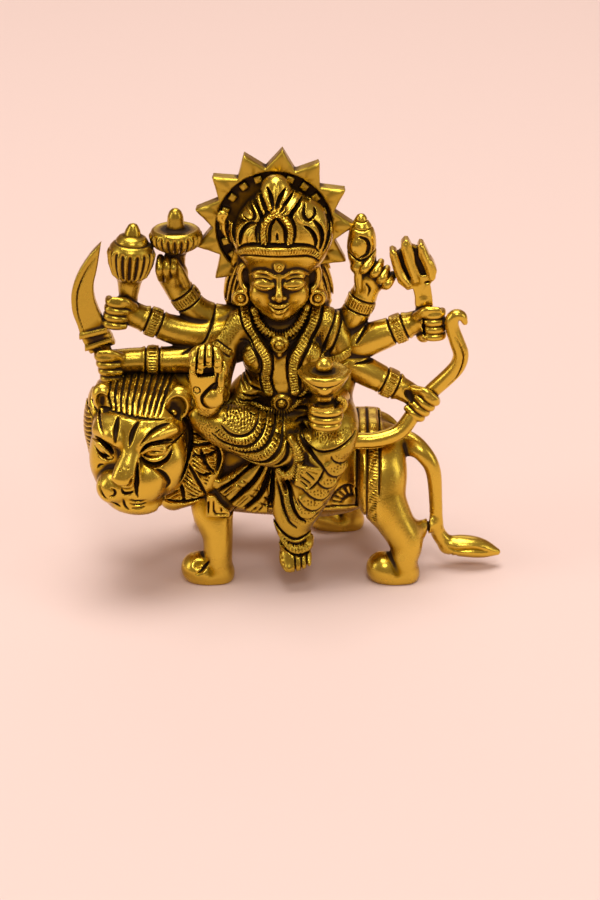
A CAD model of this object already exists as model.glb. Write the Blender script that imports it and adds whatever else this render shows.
# %% [markdown]
# # A brass goddess on her lion
# The real object is a small idol, cast in brass in one piece, filed, and then cut with fine
# strokes. Dark patina is left in the cuts, and every raised part is rubbed bright.
# Such a thing could be made from hundreds of separate meshes, but their joins would show as cracks.
# Here each part is modelled as the foundry's wax was: as one block of clay in a grid, where forms
# melt into one another and strokes press into the surface. Each block is then turned into a mesh.

import math

import bpy
import numpy as np
import openvdb
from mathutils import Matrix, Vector


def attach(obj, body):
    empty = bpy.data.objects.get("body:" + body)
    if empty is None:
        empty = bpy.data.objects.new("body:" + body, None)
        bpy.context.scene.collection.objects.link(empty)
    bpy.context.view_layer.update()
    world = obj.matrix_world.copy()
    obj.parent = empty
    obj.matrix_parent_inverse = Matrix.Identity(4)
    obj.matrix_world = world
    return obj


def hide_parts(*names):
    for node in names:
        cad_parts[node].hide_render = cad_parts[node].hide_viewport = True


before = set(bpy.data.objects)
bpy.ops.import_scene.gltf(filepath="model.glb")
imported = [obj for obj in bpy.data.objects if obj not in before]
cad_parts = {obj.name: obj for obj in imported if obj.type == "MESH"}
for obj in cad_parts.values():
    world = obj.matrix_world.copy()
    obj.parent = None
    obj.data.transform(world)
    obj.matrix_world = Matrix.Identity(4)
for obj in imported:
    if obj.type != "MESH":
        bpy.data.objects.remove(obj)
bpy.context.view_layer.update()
CASTING = "durga_on_lion"

# %% [markdown]
# ## Camera
# The photograph looks down on the idol from in front, through a long lens. The camera comes first,
# because every later choice is judged through it.

# %% Camera
TILT_DOWN = 24.864  # degrees below the level
CAMERA_PLACE = (0.00231, -0.538517, 0.27875)
LONG_LENS, SENSOR = 102, 36  # millimetres
camera_data = bpy.data.cameras.new("camera")
camera_data.lens = LONG_LENS
camera_data.sensor_width = SENSOR
camera_data.clip_end = 10
camera = bpy.data.objects.new("camera", camera_data)
camera.location = CAMERA_PLACE
camera.rotation_euler = (math.radians(90 - TILT_DOWN), 0, 0)
bpy.context.scene.collection.objects.link(camera)
bpy.context.scene.camera = camera
print("camera", [round(v, 3) for v in camera.location])

# %% [markdown]
# ## A block of clay
# A grid holds, for each of its points, how far the surface is: less than nothing inside the metal,
# more outside. Two forms are joined by keeping the smaller distance, and they melt together when
# the change from one to the other is made soft. Subdivision modelling could give such forms too,
# but not hundreds of them that flow into each other.
#
# The clay is worked in millimetres, from the middle plane of the lion, and moved into the frame of
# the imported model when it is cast.

# %% Lines and distances
FAR = 6.0  # what the grid says where nothing is near
MARGIN = 1.6  # how far round a form the grid is worked
DEPTH = np.array([0.0, 1.0, 0.0])
UP = np.array([0.0, 0.0, 1.0])


def curve(points, steps):
    """A smooth line through points, sampled in even steps from each to the next."""
    known = np.asarray(points, float)
    ends = np.vstack([2 * known[0] - known[1], known, 2 * known[-1] - known[-2]])
    t = np.linspace(0, len(known) - 1, steps + 1)
    i = np.minimum(t.astype(int), len(known) - 2)
    f = (t - i)[:, None]
    a, b, c, d = ends[i], ends[i + 1], ends[i + 2], ends[i + 3]
    return 0.5 * (2 * b + (c - a) * f + (2 * a - 5 * b + 4 * c - d) * f**2 + (3 * b - a - 3 * c + d) * f**3)


def melt(one, other, softness):
    """The distance to two forms joined, with a fillet of that softness between them."""
    if softness <= 0:
        return np.minimum(one, other)
    h = np.clip(0.5 + 0.5 * (other - one) / softness, 0, 1)
    return other + (one - other) * h - softness * h * (1 - h)


def turn_matrix(turn):
    """The matrix of a turn about X, Y and Z, in degrees."""
    (cx, cy, cz), (sx, sy, sz) = np.cos(np.radians(turn)), np.sin(np.radians(turn))
    about_x = np.array([[1, 0, 0], [0, cx, -sx], [0, sx, cx]])
    about_y = np.array([[cy, 0, sy], [0, 1, 0], [-sy, 0, cy]])
    about_z = np.array([[cz, -sz, 0], [sz, cz, 0], [0, 0, 1]])
    return about_x @ about_y @ about_z


def outline_distance(points, u, v):
    """Distance to a closed flat outline, less than nothing inside it."""
    corners = np.asarray(points, float)
    nearest = np.full(np.broadcast(u, v).shape, 1e9, np.float32)
    inside = np.zeros(nearest.shape, bool)
    for (au, av), (bu, bv) in zip(corners, np.roll(corners, -1, axis=0)):
        du, dv = bu - au, bv - av
        t = np.clip(((u - au) * du + (v - av) * dv) / max(du * du + dv * dv, 1e-9), 0, 1)
        nearest = np.minimum(nearest, (u - au - du * t) ** 2 + (v - av - dv * t) ** 2)
        if av != bv:
            inside ^= ((av > v) != (bv > v)) & (u < au + (v - av) / (bv - av) * du)
    distance = np.sqrt(nearest)
    return np.where(inside, -distance, distance)


def line_distance(points, u, v):
    """Distance to an open flat line, how far along the line, and the signed offset from it."""
    corners = np.asarray(points, float)
    lengths = np.linalg.norm(np.diff(corners, axis=0), axis=1)
    starts = np.concatenate([[0], np.cumsum(lengths)])
    shape = np.broadcast(u, v).shape
    nearest, along, side = np.full(shape, 1e9, np.float32), np.zeros(shape, np.float32), np.zeros(shape, np.float32)
    for (au, av), (bu, bv), length, start in zip(corners, corners[1:], lengths, starts):
        du, dv = (bu - au) / length, (bv - av) / length
        t = np.clip((u - au) * du + (v - av) * dv, 0, length)
        gap = np.hypot(u - au - du * t, v - av - dv * t)
        closer = gap < nearest
        nearest = np.where(closer, gap, nearest)
        along = np.where(closer, start + t, along)
        side = np.where(closer, (u - au) * dv - (v - av) * du, side)
    return nearest, along, side, starts[-1]


# %% The clay itself
class Clay:
    """A block of clay: its grid of distances, and where its low corner is."""

    def __init__(self, low, high, voxel):
        self.low, self.voxel = np.array(low, float), voxel
        counts = np.ceil((np.array(high, float) - low) / voxel).astype(int) + 1
        self.field = np.full(counts, FAR, np.float32)

    def window(self, low, high):
        """The part of the grid between two corners, and the places of its points."""
        first = np.floor((np.asarray(low) - self.low) / self.voxel).astype(int)
        last = np.ceil((np.asarray(high) - self.low) / self.voxel).astype(int) + 1
        first, last = np.clip(first, 0, self.field.shape), np.clip(last, 0, self.field.shape)
        where = tuple(slice(a, b) for a, b in zip(first, last))
        places = [self.low[i] + self.voxel * np.arange(first[i], last[i]) for i in range(3)]
        return where, np.ix_(*[p.astype(np.float32) for p in places])

    def shape_in(self, where, distance, blend, cut=False):
        """Adds a form to the clay, or cuts it away."""
        before = self.field[where]
        self.field[where] = -melt(-before, distance, blend) if cut else melt(before, distance, blend)


# %% [markdown]
# ### Forms
# A limb is an oval that follows a line; a mass is an egg; a turned form has a profile; a plate is a
# flat outline with some thickness. Everything on the idol is made of these four.


# %% Forms to put on the clay
def limb(clay, path, girths, blend=0.5, across=DEPTH, steps=None, caps=(1, 1), relief=None):
    """An oval that follows a path. A girth is one half-width, or one as seen and one in depth.

    Caps say how round each end is, and relief adds to the surface."""
    pairs = [girth if np.ndim(girth) else (girth, girth) for girth in girths]
    steps = steps or 4 * (len(path) - 1)
    line, girth = curve(path, steps), np.maximum(curve(pairs, steps), 0.05)
    reach = girth.max() + MARGIN + blend
    where, (x, y, z) = clay.window(line.min(0) - reach, line.max(0) + reach)
    if 0 in (x.size, y.size, z.size):
        return
    best = np.full((x.size, y.size, z.size), FAR, np.float32)
    for k in range(steps):
        a, b = line[k], line[k + 1]
        room = girth[k : k + 2].max() + MARGIN + blend
        low, high = np.minimum(a, b) - room, np.maximum(a, b) + room
        part = tuple(
            slice(*np.searchsorted(axis.ravel(), (low[i], high[i]))) for i, axis in enumerate((x, y, z))
        )
        px, py, pz = x[part[0]] - a[0], y[:, part[1]] - a[1], z[:, :, part[2]] - a[2]
        length = max(np.linalg.norm(b - a), 1e-6)
        along = (b - a) / length
        side = np.cross(along, across)
        side = side / max(np.linalg.norm(side), 1e-6)
        front = np.cross(side, along)
        run = px * along[0] + py * along[1] + pz * along[2]
        t = np.clip(run / length, 0, 1)
        over = run - t * length
        u = px * side[0] + py * side[1] + pz * side[2]
        v = px * front[0] + py * front[1] + pz * front[2]
        ru = girth[k, 0] + t * (girth[k + 1, 0] - girth[k, 0])
        rv = girth[k, 1] + t * (girth[k + 1, 1] - girth[k, 1])
        rw = np.minimum(ru, rv)
        if k == 0:
            rw = np.where(run < 0, rw * caps[0], rw)
        if k == steps - 1:
            rw = np.where(run > length, rw * caps[1], rw)
        first = np.sqrt((u / ru) ** 2 + (v / rv) ** 2 + (over / rw) ** 2)
        second = np.sqrt((u / ru**2) ** 2 + (v / rv**2) ** 2 + (over / rw**2) ** 2) + 1e-6
        distance = first * (first - 1) / second
        if relief:
            distance = distance - relief((k + t) / steps, np.arctan2(v, u))
        best[part] = np.minimum(best[part], distance)
    clay.shape_in(where, best, blend)


def mass(clay, centre, halves, turn=(0, 0, 0), blend=0.8, cut=False):
    """An egg-shaped mass, turned by three angles in degrees."""
    reach = max(halves) + MARGIN + blend
    centre = np.asarray(centre, float)
    where, (x, y, z) = clay.window(centre - reach, centre + reach)
    matrix = turn_matrix(turn)
    px, py, pz = x - centre[0], y - centre[1], z - centre[2]
    local = [px * matrix[0, i] + py * matrix[1, i] + pz * matrix[2, i] for i in range(3)]
    first = np.sqrt(sum((l / h) ** 2 for l, h in zip(local, halves)))
    second = np.sqrt(sum((l / h**2) ** 2 for l, h in zip(local, halves))) + 1e-6
    clay.shape_in(where, first * (first - 1) / second, blend, cut)


def turned(clay, profile, foot, tilt=(0, 0), blend=0.3, soft=0.15, ribs=None, cut=False):
    """A turned form: pairs of radius and height. Ribs are a count, a depth and two heights."""
    profile = np.asarray(profile, float)
    matrix = turn_matrix((0, tilt[1], 0)) @ turn_matrix((tilt[0], 0, 0))
    foot = np.asarray(foot, float)
    ends = np.array([foot + matrix @ np.array([0, 0, h]) for h in (profile[:, 1].min(), profile[:, 1].max())])
    reach = profile[:, 0].max() + MARGIN + blend
    where, (x, y, z) = clay.window(ends.min(0) - reach, ends.max(0) + reach)
    px, py, pz = x - foot[0], y - foot[1], z - foot[2]
    lx, ly, lz = [px * matrix[0, i] + py * matrix[1, i] + pz * matrix[2, i] for i in range(3)]
    radius = np.hypot(lx, ly)
    if ribs:
        count, depth, low, high = ribs
        fade = np.clip((lz - low) / 0.8, 0, 1) * np.clip((high - lz) / 0.8, 0, 1)
        radius = radius - depth * fade * np.cos(count * np.arctan2(ly, lx))
    whole = np.vstack([profile, profile[::-1] * (-1, 1)])
    clay.shape_in(where, outline_distance(whole, radius, lz) - soft, blend, cut)


def plate(clay, points, front, thickness, blend=0.3, soft=0.3, cut=False):
    """A plate that faces the viewer: an outline in X and Z, with its front at a depth."""
    points = np.asarray(points, float)
    low, high = points.min(0) - MARGIN - blend, points.max(0) + MARGIN + blend
    where, (x, y, z) = clay.window((low[0], front - MARGIN, low[1]), (high[0], front + thickness + MARGIN, high[1]))
    flat = outline_distance(points, x, z) + soft
    deep = np.abs(y - front - thickness / 2) - thickness / 2 + soft
    distance = np.minimum(np.maximum(flat, deep), 0) + np.hypot(np.maximum(flat, 0), np.maximum(deep, 0)) - soft
    clay.shape_in(where, distance.astype(np.float32), blend, cut)


# %% [markdown]
# ### Strokes
# The foundry cuts the details into the front of the idol with a graver: single strokes, rows of
# ticks across a band, and fields of small pits. Each is drawn here as the carver sees it, from in
# front, in X and Z. It is pressed into whatever surface lies between two depths, so a stroke
# follows the form under it. Those two depths, near and far, are in every call.


# %% Strokes to cut into the clay
DEPTH_FADE = 0.6  # a stroke fades in and out over this much depth
SAMPLES = 5  # of a drawn line, from each of its points to the next


def press(clay, where, amount, near, far):
    """Sinks the surface by an amount that is given in X and Z, from a near to a far depth."""
    depths = (clay.low[1] + clay.voxel * np.arange(clay.field.shape[1])).astype(np.float32)
    weight = np.clip((depths - near) / DEPTH_FADE, 0, 1) * np.clip((far - depths) / DEPTH_FADE, 0, 1)
    rows = np.flatnonzero(weight)
    rows = slice(rows[0], rows[-1] + 1)
    clay.field[where[0], rows, where[2]] += (amount * weight[None, rows, None]).astype(np.float32)


def flat_window(clay, points, reach):
    """The part of the grid behind a flat drawing."""
    low, high = points.min(0) - reach, points.max(0) + reach
    where, (x, _, z) = clay.window((low[0], -99, low[1]), (high[0], 99, high[1]))
    return where, x, z


def drawn(clay, points, reach, steps=None):
    """The grid behind a smooth drawn line, and what line_distance tells about it."""
    line = curve(points, steps or SAMPLES * (len(points) - 1))
    where, x, z = flat_window(clay, line, reach)
    return where, *line_distance(line, x, z)


def ring_of(x, z, radius, angles):
    """Points on a circle round a place."""
    return [(x + radius * math.cos(a), z + radius * math.sin(a)) for a in angles]


def stroke(clay, points, width, depth, near, far, taper=0.5, steps=None):
    """One stroke of the graver, thinner at its ends. A depth below nothing raises a ridge."""
    where, gap, along, _, total = drawn(clay, points, width, steps)
    swell = np.clip(np.sin(np.pi * np.clip(along / total, 0.02, 0.98)), 0, 1) ** taper
    half = np.maximum(width / 2 * swell, 0.05)
    press(clay, where, depth * swell * np.clip(1 - (gap / half) ** 2, 0, 1) ** 1.5, near, far)


def band(clay, points, width, height, near, far):
    """A raised band of even width with rounded edges, along a line."""
    where, gap, *_ = drawn(clay, points, width)
    edge = np.clip((width / 2 - gap) / 0.35, 0, 1)
    press(clay, where, -height * edge * edge * (3 - 2 * edge), near, far)


def ticks(clay, points, width, pitch, depth, near, far, slant=0.0, thin=2):
    """A row of short strokes across a band along a line."""
    where, gap, along, side, total = drawn(clay, points, width)
    wave = (0.5 + 0.5 * np.cos(2 * np.pi * (along + slant * side) / pitch)) ** thin
    inside = np.clip((width / 2 - gap) / 0.3, 0, 1) * (along > 0) * (along < total)
    press(clay, where, depth * wave * inside, near, far)


def hatching(clay, region, direction, pitch, depth, near, far, bow=0.0):
    """Parallel strokes that fill a region, in a direction in degrees; bow bends them."""
    region = np.asarray(region, float)
    where, x, z = flat_window(clay, region, 0.5)
    inside = np.clip(-outline_distance(region, x, z) / 0.4, 0, 1)
    middle = region.mean(0)
    angle = math.radians(direction)
    run = (x - middle[0]) * math.cos(angle) + (z - middle[1]) * math.sin(angle)
    over = -(x - middle[0]) * math.sin(angle) + (z - middle[1]) * math.cos(angle)
    wave = (0.5 + 0.5 * np.cos(2 * np.pi * (over + bow * run**2) / pitch)) ** 2
    press(clay, where, depth * wave * inside, near, far)


ROW_APART = 0.866  # of the pitch: the height of a triangle with three even sides


def pits(clay, region, pitch, width, depth, near, far):
    """Small punched pits, in staggered rows, a little uneven as by hand, that fill a region."""
    region = np.asarray(region, float)
    where, x, z = flat_window(clay, region, 0.5)
    inside = np.clip(-outline_distance(region, x, z) / 0.3, 0, 1)
    row = np.round(z / (pitch * ROW_APART))
    column = np.round(x / pitch - 0.5 * (row % 2))
    stray_x = 0.22 * pitch * np.sin(column * 12.9898 + row * 78.233)
    stray_z = 0.22 * pitch * np.sin(column * 39.346 + row * 11.135)
    gap = np.hypot(x - (column + 0.5 * (row % 2)) * pitch - stray_x, z - row * pitch * ROW_APART - stray_z)
    press(clay, where, depth * np.clip(1 - (gap / width * 2) ** 2, 0, 1) * inside, near, far)


print("tools are ready")

# %% [markdown]
# ### From clay to metal
# A block of clay becomes a mesh where its distance is nought. A surface modelled by hand with
# bmesh would need every vertex placed; this way the fine strokes come out as real geometry. The
# mesh is then thinned where it is flat.
#
# Patina stays where a cloth doesn't reach. To know where that is, the metal is blurred: at a
# point of the surface that looks out over a ridge there is little metal round it, and in a groove
# there is a lot. Two measures of that are stored on each vertex: a fine one for strokes, from the
# block itself, and a deep one for the hollows between forms, from the whole idol together.

# %% Casting
FOOTPRINT = np.array([1.61, -5.74, 0.0])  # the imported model's origin, in the clay's millimetres
FINE_REACH, DEEP_REACH = 0.45, 1.5  # millimetres
CRUMB = 400  # a loose bit of mesh with fewer vertices than this is dropped
PER_METRE = 1000  # millimetres
clays = {}


def box_blur(grid, half, axis):
    """The mean over a few points on either side, along one axis."""
    count = grid.shape[axis]
    total = np.cumsum(grid, axis=axis, dtype=np.float32)
    upper = np.take(total, np.minimum(np.arange(count) + half, count - 1), axis=axis)
    below = np.arange(count) - half - 1
    lower = np.take(total, np.maximum(below, 0), axis=axis)
    shape = [1, 1, 1]
    shape[axis] = count
    return (upper - lower * (below >= 0).reshape(shape)) / (2 * half + 1)


def metal_around(clay, reach):
    """How much of the space round each point is metal, from 0 to 1."""
    share = np.clip(0.5 - clay.field / clay.voxel, 0, 1)
    half = max(1, round(reach / clay.voxel))
    for axis in (0, 1, 2, 0, 1, 2):
        share = box_blur(share, half, axis)
    return share


def sampled(grid, places):
    """Values of a grid at places between its points."""
    places = np.clip(places, 0, np.array(grid.shape) - 1.001)
    cell = places.astype(int)
    rest = (places - cell).astype(np.float32)
    total = 0
    for dx in (0, 1):
        for dy in (0, 1):
            for dz in (0, 1):
                weight = np.abs(1 - dx - rest[:, 0]) * np.abs(1 - dy - rest[:, 1]) * np.abs(1 - dz - rest[:, 2])
                total = total + weight * grid[cell[:, 0] + dx, cell[:, 1] + dy, cell[:, 2] + dz]
    return total


def without_crumbs(points, quads):
    """Keeps the bits of a mesh that are large enough to be forms."""
    label = np.arange(len(points))
    while True:
        low = label[quads].min(axis=1)
        before = label.copy()
        for corner in range(4):
            np.minimum.at(label, quads[:, corner], low)
        label = label[label]
        if np.array_equal(before, label):
            break
    sizes = np.bincount(label, minlength=len(points))
    keep = sizes[label] >= CRUMB
    renumber = np.cumsum(keep) - 1
    return points[keep], renumber[quads[keep[quads[:, 0]]]]


def mesh_from(name, points, quads):
    """A mesh from arrays of places and of four-cornered faces."""
    mesh = bpy.data.meshes.new(name)
    mesh.vertices.add(len(points))
    mesh.vertices.foreach_set("co", points.astype(np.float32).ravel())
    mesh.loops.add(quads.size)
    mesh.loops.foreach_set("vertex_index", quads.astype(np.int32).ravel())
    mesh.polygons.add(len(quads))
    mesh.polygons.foreach_set("loop_start", np.arange(0, quads.size, 4, dtype=np.int32))
    mesh.update(calc_edges=True)
    return mesh


def close_sides(clay):
    """Ends the metal at the sides of its block, so that the mesh is closed there."""
    for axis in range(3):
        for end in (0, -1):
            side = [slice(None)] * 3
            side[axis] = end
            clay.field[tuple(side)] = FAR


def thinned(piece, share):
    """The piece's mesh with only a share of its faces, fewest where it is flat."""
    thin = piece.modifiers.new("thin", "DECIMATE")
    thin.ratio = share
    shown = piece.evaluated_get(bpy.context.evaluated_depsgraph_get())
    mesh = bpy.data.meshes.new_from_object(shown)
    piece.modifiers.clear()
    return mesh


def store_recesses(mesh, clay):
    """Stores on each vertex how much metal is round it, from near by and from farther off."""
    flat = np.empty(len(mesh.vertices) * 3, np.float32)
    mesh.vertices.foreach_get("co", flat)
    at = flat.reshape(-1, 3) * PER_METRE + FOOTPRINT
    measures = {"fine_recess": (clay, metal_around(clay, FINE_REACH)), "deep_recess": (whole, whole_around)}
    for label, (source, around) in measures.items():
        value = 2 * sampled(around, (at - source.low) / source.voxel) - 1
        mesh.attributes.new(label, "FLOAT", "POINT").data.foreach_set("value", value.astype(np.float32))


def cast(name, material, most_triangles):
    """Turns a block of clay into a finished piece that rides on the model and stands for its node."""
    clay = clays[name]
    close_sides(clay)
    grid = openvdb.FloatGrid(FAR)
    grid.copyFromArray(clay.field)
    points, quads = grid.convertToQuads(0.0)
    points, quads = without_crumbs(points, quads)
    places = (clay.low + points * clay.voxel - FOOTPRINT) / PER_METRE
    piece = bpy.data.objects.new(name, mesh_from(name, places, quads))
    bpy.context.scene.collection.objects.link(piece)
    if 2 * len(quads) > most_triangles:
        piece.data = thinned(piece, most_triangles / (2 * len(quads)))
    mesh = piece.data
    mesh.shade_smooth()
    store_recesses(mesh, clay)
    mesh.materials.append(material)
    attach(piece, "root")
    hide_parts(CASTING)
    triangles = sum(len(p.vertices) - 2 for p in mesh.polygons)
    print(f"{name}: {triangles} triangles of {2 * len(quads)}")
    return piece


# %% [markdown]
# ## Brass
# Cast brass is a yellow metal that reflects its surroundings through a skin that is never quite
# smooth. Three effects are used by every part of the idol, each with its own values, so each is a
# node group: patina in the recesses, the pitted skin of the casting, and the scratches of the cloth
# and file. The shader itself stays in the material.

# %% Building node groups
def group(name, inputs, outputs):
    """A shader node group: its inputs with their defaults, its outputs with their types."""
    tree = bpy.data.node_groups.new(name, "ShaderNodeTree")
    for label, default in inputs.items():
        socket = tree.interface.new_socket(label, in_out="INPUT", socket_type="NodeSocketFloat")
        socket.default_value = default
    for label, kind in outputs.items():
        tree.interface.new_socket(label, in_out="OUTPUT", socket_type=kind)
    return tree, tree.nodes.new("NodeGroupInput"), tree.nodes.new("NodeGroupOutput")


def node(tree, kind, **settings):
    """A node with its settings and its sockets, each given a value or a link."""
    made = tree.nodes.new(kind)
    for label, value in settings.items():
        if hasattr(made, label) and not label[0].isupper():
            setattr(made, label, value)
            continue
        socket = made.inputs[int(label[2:])] if label.startswith("In") and label[2:].isdigit() else made.inputs[label]
        if isinstance(value, bpy.types.NodeSocket):
            tree.links.new(value, socket)
        else:
            socket.default_value = value
    return made


def blend_of(tree, kind, low, high, amount):
    """A mix of two values or colours."""
    made = tree.nodes.new("ShaderNodeMix")
    made.data_type = kind
    index = {"FLOAT": (2, 3, 0), "RGBA": (6, 7, 2)}[kind]
    for socket, value in ((made.inputs[0], amount), (made.inputs[index[0]], low), (made.inputs[index[1]], high)):
        if isinstance(value, bpy.types.NodeSocket):
            tree.links.new(value, socket)
        else:
            socket.default_value = value
    return made.outputs[index[2]]


def worked(tree, operation, one, other=0.0, third=0.0, clamp=False):
    """One step of arithmetic."""
    made = tree.nodes.new("ShaderNodeMath")
    made.operation, made.use_clamp = operation, clamp
    for socket, value in zip(made.inputs, (one, other, third)):
        if isinstance(value, bpy.types.NodeSocket):
            tree.links.new(value, socket)
        else:
            socket.default_value = value
    return made.outputs[0]


# %% Patina in the recesses
def patina_group():
    """Where dark patina is left, and where the metal is rubbed bright."""
    tree, given, out = group(
        "patina in recesses",
        {
            "Fine Recess": 0.0, "Deep Recess": 0.0, "Fine Strength": 5.0, "Deep Strength": 2.4, "Start": 0.1,
            "Grain": 900.0
        },
        {"Dark": "NodeSocketFloat", "Rubbed": "NodeSocketFloat"},
    )
    place = node(tree, "ShaderNodeTexCoord").outputs["Object"]
    patchy = node(tree, "ShaderNodeTexNoise", Vector=place, Scale=given.outputs["Grain"], Detail=4.0, Roughness=0.6)
    uneven = worked(tree, "MULTIPLY_ADD", patchy.outputs[0], 0.5, -0.25)
    fine = worked(tree, "MULTIPLY", given.outputs["Fine Recess"], given.outputs["Fine Strength"])
    deep = worked(tree, "MULTIPLY", given.outputs["Deep Recess"], given.outputs["Deep Strength"])
    both = worked(tree, "ADD", fine, deep)
    level = worked(tree, "ADD", both, uneven)
    dark = worked(tree, "SUBTRACT", level, given.outputs["Start"], clamp=True)
    tree.links.new(dark, out.inputs["Dark"])
    raised = worked(tree, "MULTIPLY_ADD", both, -1.4, 0.05, clamp=True)
    tree.links.new(raised, out.inputs["Rubbed"])
    return tree


# %% The skin of the casting
def skin_group():
    """The height of the uneven skin with its pits, and a slow change of tone."""
    tree, given, out = group(
        "skin of the casting",
        {"Pit Scale": 1500.0, "Pit Depth": 0.4, "Wave Scale": 260.0},
        {"Height": "NodeSocketFloat", "Tone": "NodeSocketFloat"},
    )
    place = node(tree, "ShaderNodeTexCoord").outputs["Object"]
    waves = node(tree, "ShaderNodeTexNoise", Vector=place, Scale=given.outputs["Wave Scale"], Detail=3.0)
    grain = node(
        tree, "ShaderNodeTexNoise", Vector=place, Scale=given.outputs["Pit Scale"], Detail=5.0, Roughness=0.65
    )
    pits_seen = node(tree, "ShaderNodeTexVoronoi", Vector=place, Scale=given.outputs["Pit Scale"])
    holes = worked(tree, "LESS_THAN", pits_seen.outputs["Distance"], 0.14)
    holes = worked(tree, "MULTIPLY", holes, given.outputs["Pit Depth"])
    height = worked(tree, "MULTIPLY_ADD", waves.outputs[0], 1.2, grain.outputs[0])
    tree.links.new(worked(tree, "SUBTRACT", height, holes), out.inputs["Height"])
    tree.links.new(waves.outputs[0], out.inputs["Tone"])
    return tree


# %% Scratches of the cloth and the file
def scratch_group():
    """Two layers of long thin streaks, at a slant to each other."""
    tree, given, out = group(
        "fine scratches",
        {"Scale": 700.0, "Slant": 0.5},
        {"Scratches": "NodeSocketFloat"},
    )
    place = node(tree, "ShaderNodeTexCoord").outputs["Object"]
    layers = []
    for index, (turn, stretch) in enumerate(((0.4, 9.0), (1.9, 14.0))):
        slant = worked(tree, "ADD", given.outputs["Slant"], turn)
        turned_to = node(tree, "ShaderNodeVectorRotate", Vector=place, Angle=slant, rotation_type="Y_AXIS")
        parts = node(tree, "ShaderNodeSeparateXYZ", Vector=turned_to.outputs[0])
        long = worked(tree, "DIVIDE", parts.outputs[0], stretch)
        drawn = node(tree, "ShaderNodeCombineXYZ", X=long, Y=parts.outputs[1], Z=parts.outputs[2])
        streak = node(tree, "ShaderNodeTexNoise", Vector=drawn.outputs[0], Scale=given.outputs["Scale"], Detail=2.0)
        layers.append(worked(tree, "POWER", streak.outputs[0], 4.0 + index))
    tree.links.new(worked(tree, "ADD", *layers), out.inputs["Scratches"])
    return tree


patina, skin, scratches = patina_group(), skin_group(), scratch_group()
print("node groups:", patina.name, "|", skin.name, "|", scratches.name)

# %% The brass materials
PATINA_ROUGH, PIT_DEPTH = 0.62, 0.4
BRIGHT, PLAIN, DULL = (0.68, 0.46, 0.055, 1), (0.44, 0.245, 0.007, 1), (0.22, 0.113, 0.003, 1)
PATINA = (0.030, 0.012, 0.0012, 1)


def brass(name, plain=PLAIN, bright=BRIGHT, smooth=0.27, start=0.1, fine=5.0, deep=2.8, scratch=0.12):
    """Cast brass: its plain colour, how rough it is where rubbed, and how far the patina reaches."""
    made = bpy.data.materials.new(name)
    made.use_nodes = True
    tree = made.node_tree
    shader = tree.nodes["Principled BSDF"]
    fine_recess = node(tree, "ShaderNodeAttribute", attribute_name="fine_recess").outputs["Fac"]
    deep_recess = node(tree, "ShaderNodeAttribute", attribute_name="deep_recess").outputs["Fac"]
    left = tree.nodes.new("ShaderNodeGroup")
    left.node_tree = patina
    for label, value in {"Start": start, "Fine Strength": fine, "Deep Strength": deep}.items():
        left.inputs[label].default_value = value
    tree.links.new(fine_recess, left.inputs["Fine Recess"])
    tree.links.new(deep_recess, left.inputs["Deep Recess"])
    cast_skin = tree.nodes.new("ShaderNodeGroup")
    cast_skin.node_tree = skin
    cast_skin.inputs["Pit Depth"].default_value = PIT_DEPTH
    marks = tree.nodes.new("ShaderNodeGroup")
    marks.node_tree = scratches
    tone = worked(tree, "MULTIPLY_ADD", cast_skin.outputs["Tone"], 2.2, -0.6, clamp=True)
    metal = blend_of(tree, "RGBA", DULL, plain, tone)
    metal = blend_of(tree, "RGBA", plain, metal, 0.5)
    metal = blend_of(tree, "RGBA", metal, bright, left.outputs["Rubbed"])
    colour = blend_of(tree, "RGBA", metal, PATINA, left.outputs["Dark"])
    tree.links.new(colour, shader.inputs["Base Color"])
    roughness = worked(tree, "MULTIPLY_ADD", cast_skin.outputs["Tone"], 0.16, smooth - 0.08)
    roughness = blend_of(tree, "FLOAT", roughness, PATINA_ROUGH, left.outputs["Dark"])
    tree.links.new(roughness, shader.inputs["Roughness"])
    metallic = worked(tree, "MULTIPLY_ADD", left.outputs["Dark"], -0.35, 1.0)
    tree.links.new(metallic, shader.inputs["Metallic"])
    height = worked(tree, "MULTIPLY_ADD", marks.outputs["Scratches"], scratch, cast_skin.outputs["Height"])
    bump = node(tree, "ShaderNodeBump", Strength=0.36, Distance=0.00012, Height=height)
    tree.links.new(bump.outputs["Normal"], shader.inputs["Normal"])
    return made


OLD_GOLD, OLD_BRIGHT = (0.29, 0.158, 0.005, 1), (0.52, 0.35, 0.04, 1)
satin = brass("brass_rubbed_satin", plain=(0.50, 0.282, 0.009, 1), smooth=0.26, scratch=0.3)
carved = brass("brass_carved", smooth=0.24, start=0.0, fine=6.0, deep=3.6)
worn = brass("brass_worn_by_hands", OLD_GOLD, OLD_BRIGHT, smooth=0.27, start=0.0, fine=6.0, deep=3.8, scratch=0.2)
dark_brass = brass(
    "brass_left_dark", (0.17, 0.093, 0.004, 1), OLD_BRIGHT, smooth=0.34, start=-0.05, fine=6.0, deep=4.2
)
print("materials:", satin.name, carved.name, worn.name, dark_brass.name)

# %% [markdown]
# ## The lion's body
# The lion stands square on its four paws, with a smooth, full trunk that has flat flanks, a cloth
# over its back, and a tail that arches off the rump and turns out into a leaf-shaped tuft. The
# trunk is one limb with a squared section. The cloth is the same form a little larger, kept only
# where the cloth lies, so that it follows the back at an even thickness.

# %% Trunk, cloth and legs
lion = clays["lion_body"] = Clay((-28, -21, -1), (54, 21, 48), 0.3)
FLAT_FLANKS = 2.8  # 2 would be an oval, more is squarer
CORNERS_OUT = 9.5  # how far the rounded corners of the section are pushed out


def squared(t, angle):
    """What squares the trunk's oval section, the same all along it."""
    rounder = (np.abs(np.cos(angle)) ** FLAT_FLANKS + np.abs(np.sin(angle)) ** FLAT_FLANKS) ** (-1 / FLAT_FLANKS)
    return CORNERS_OUT * (rounder - 1)


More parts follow.
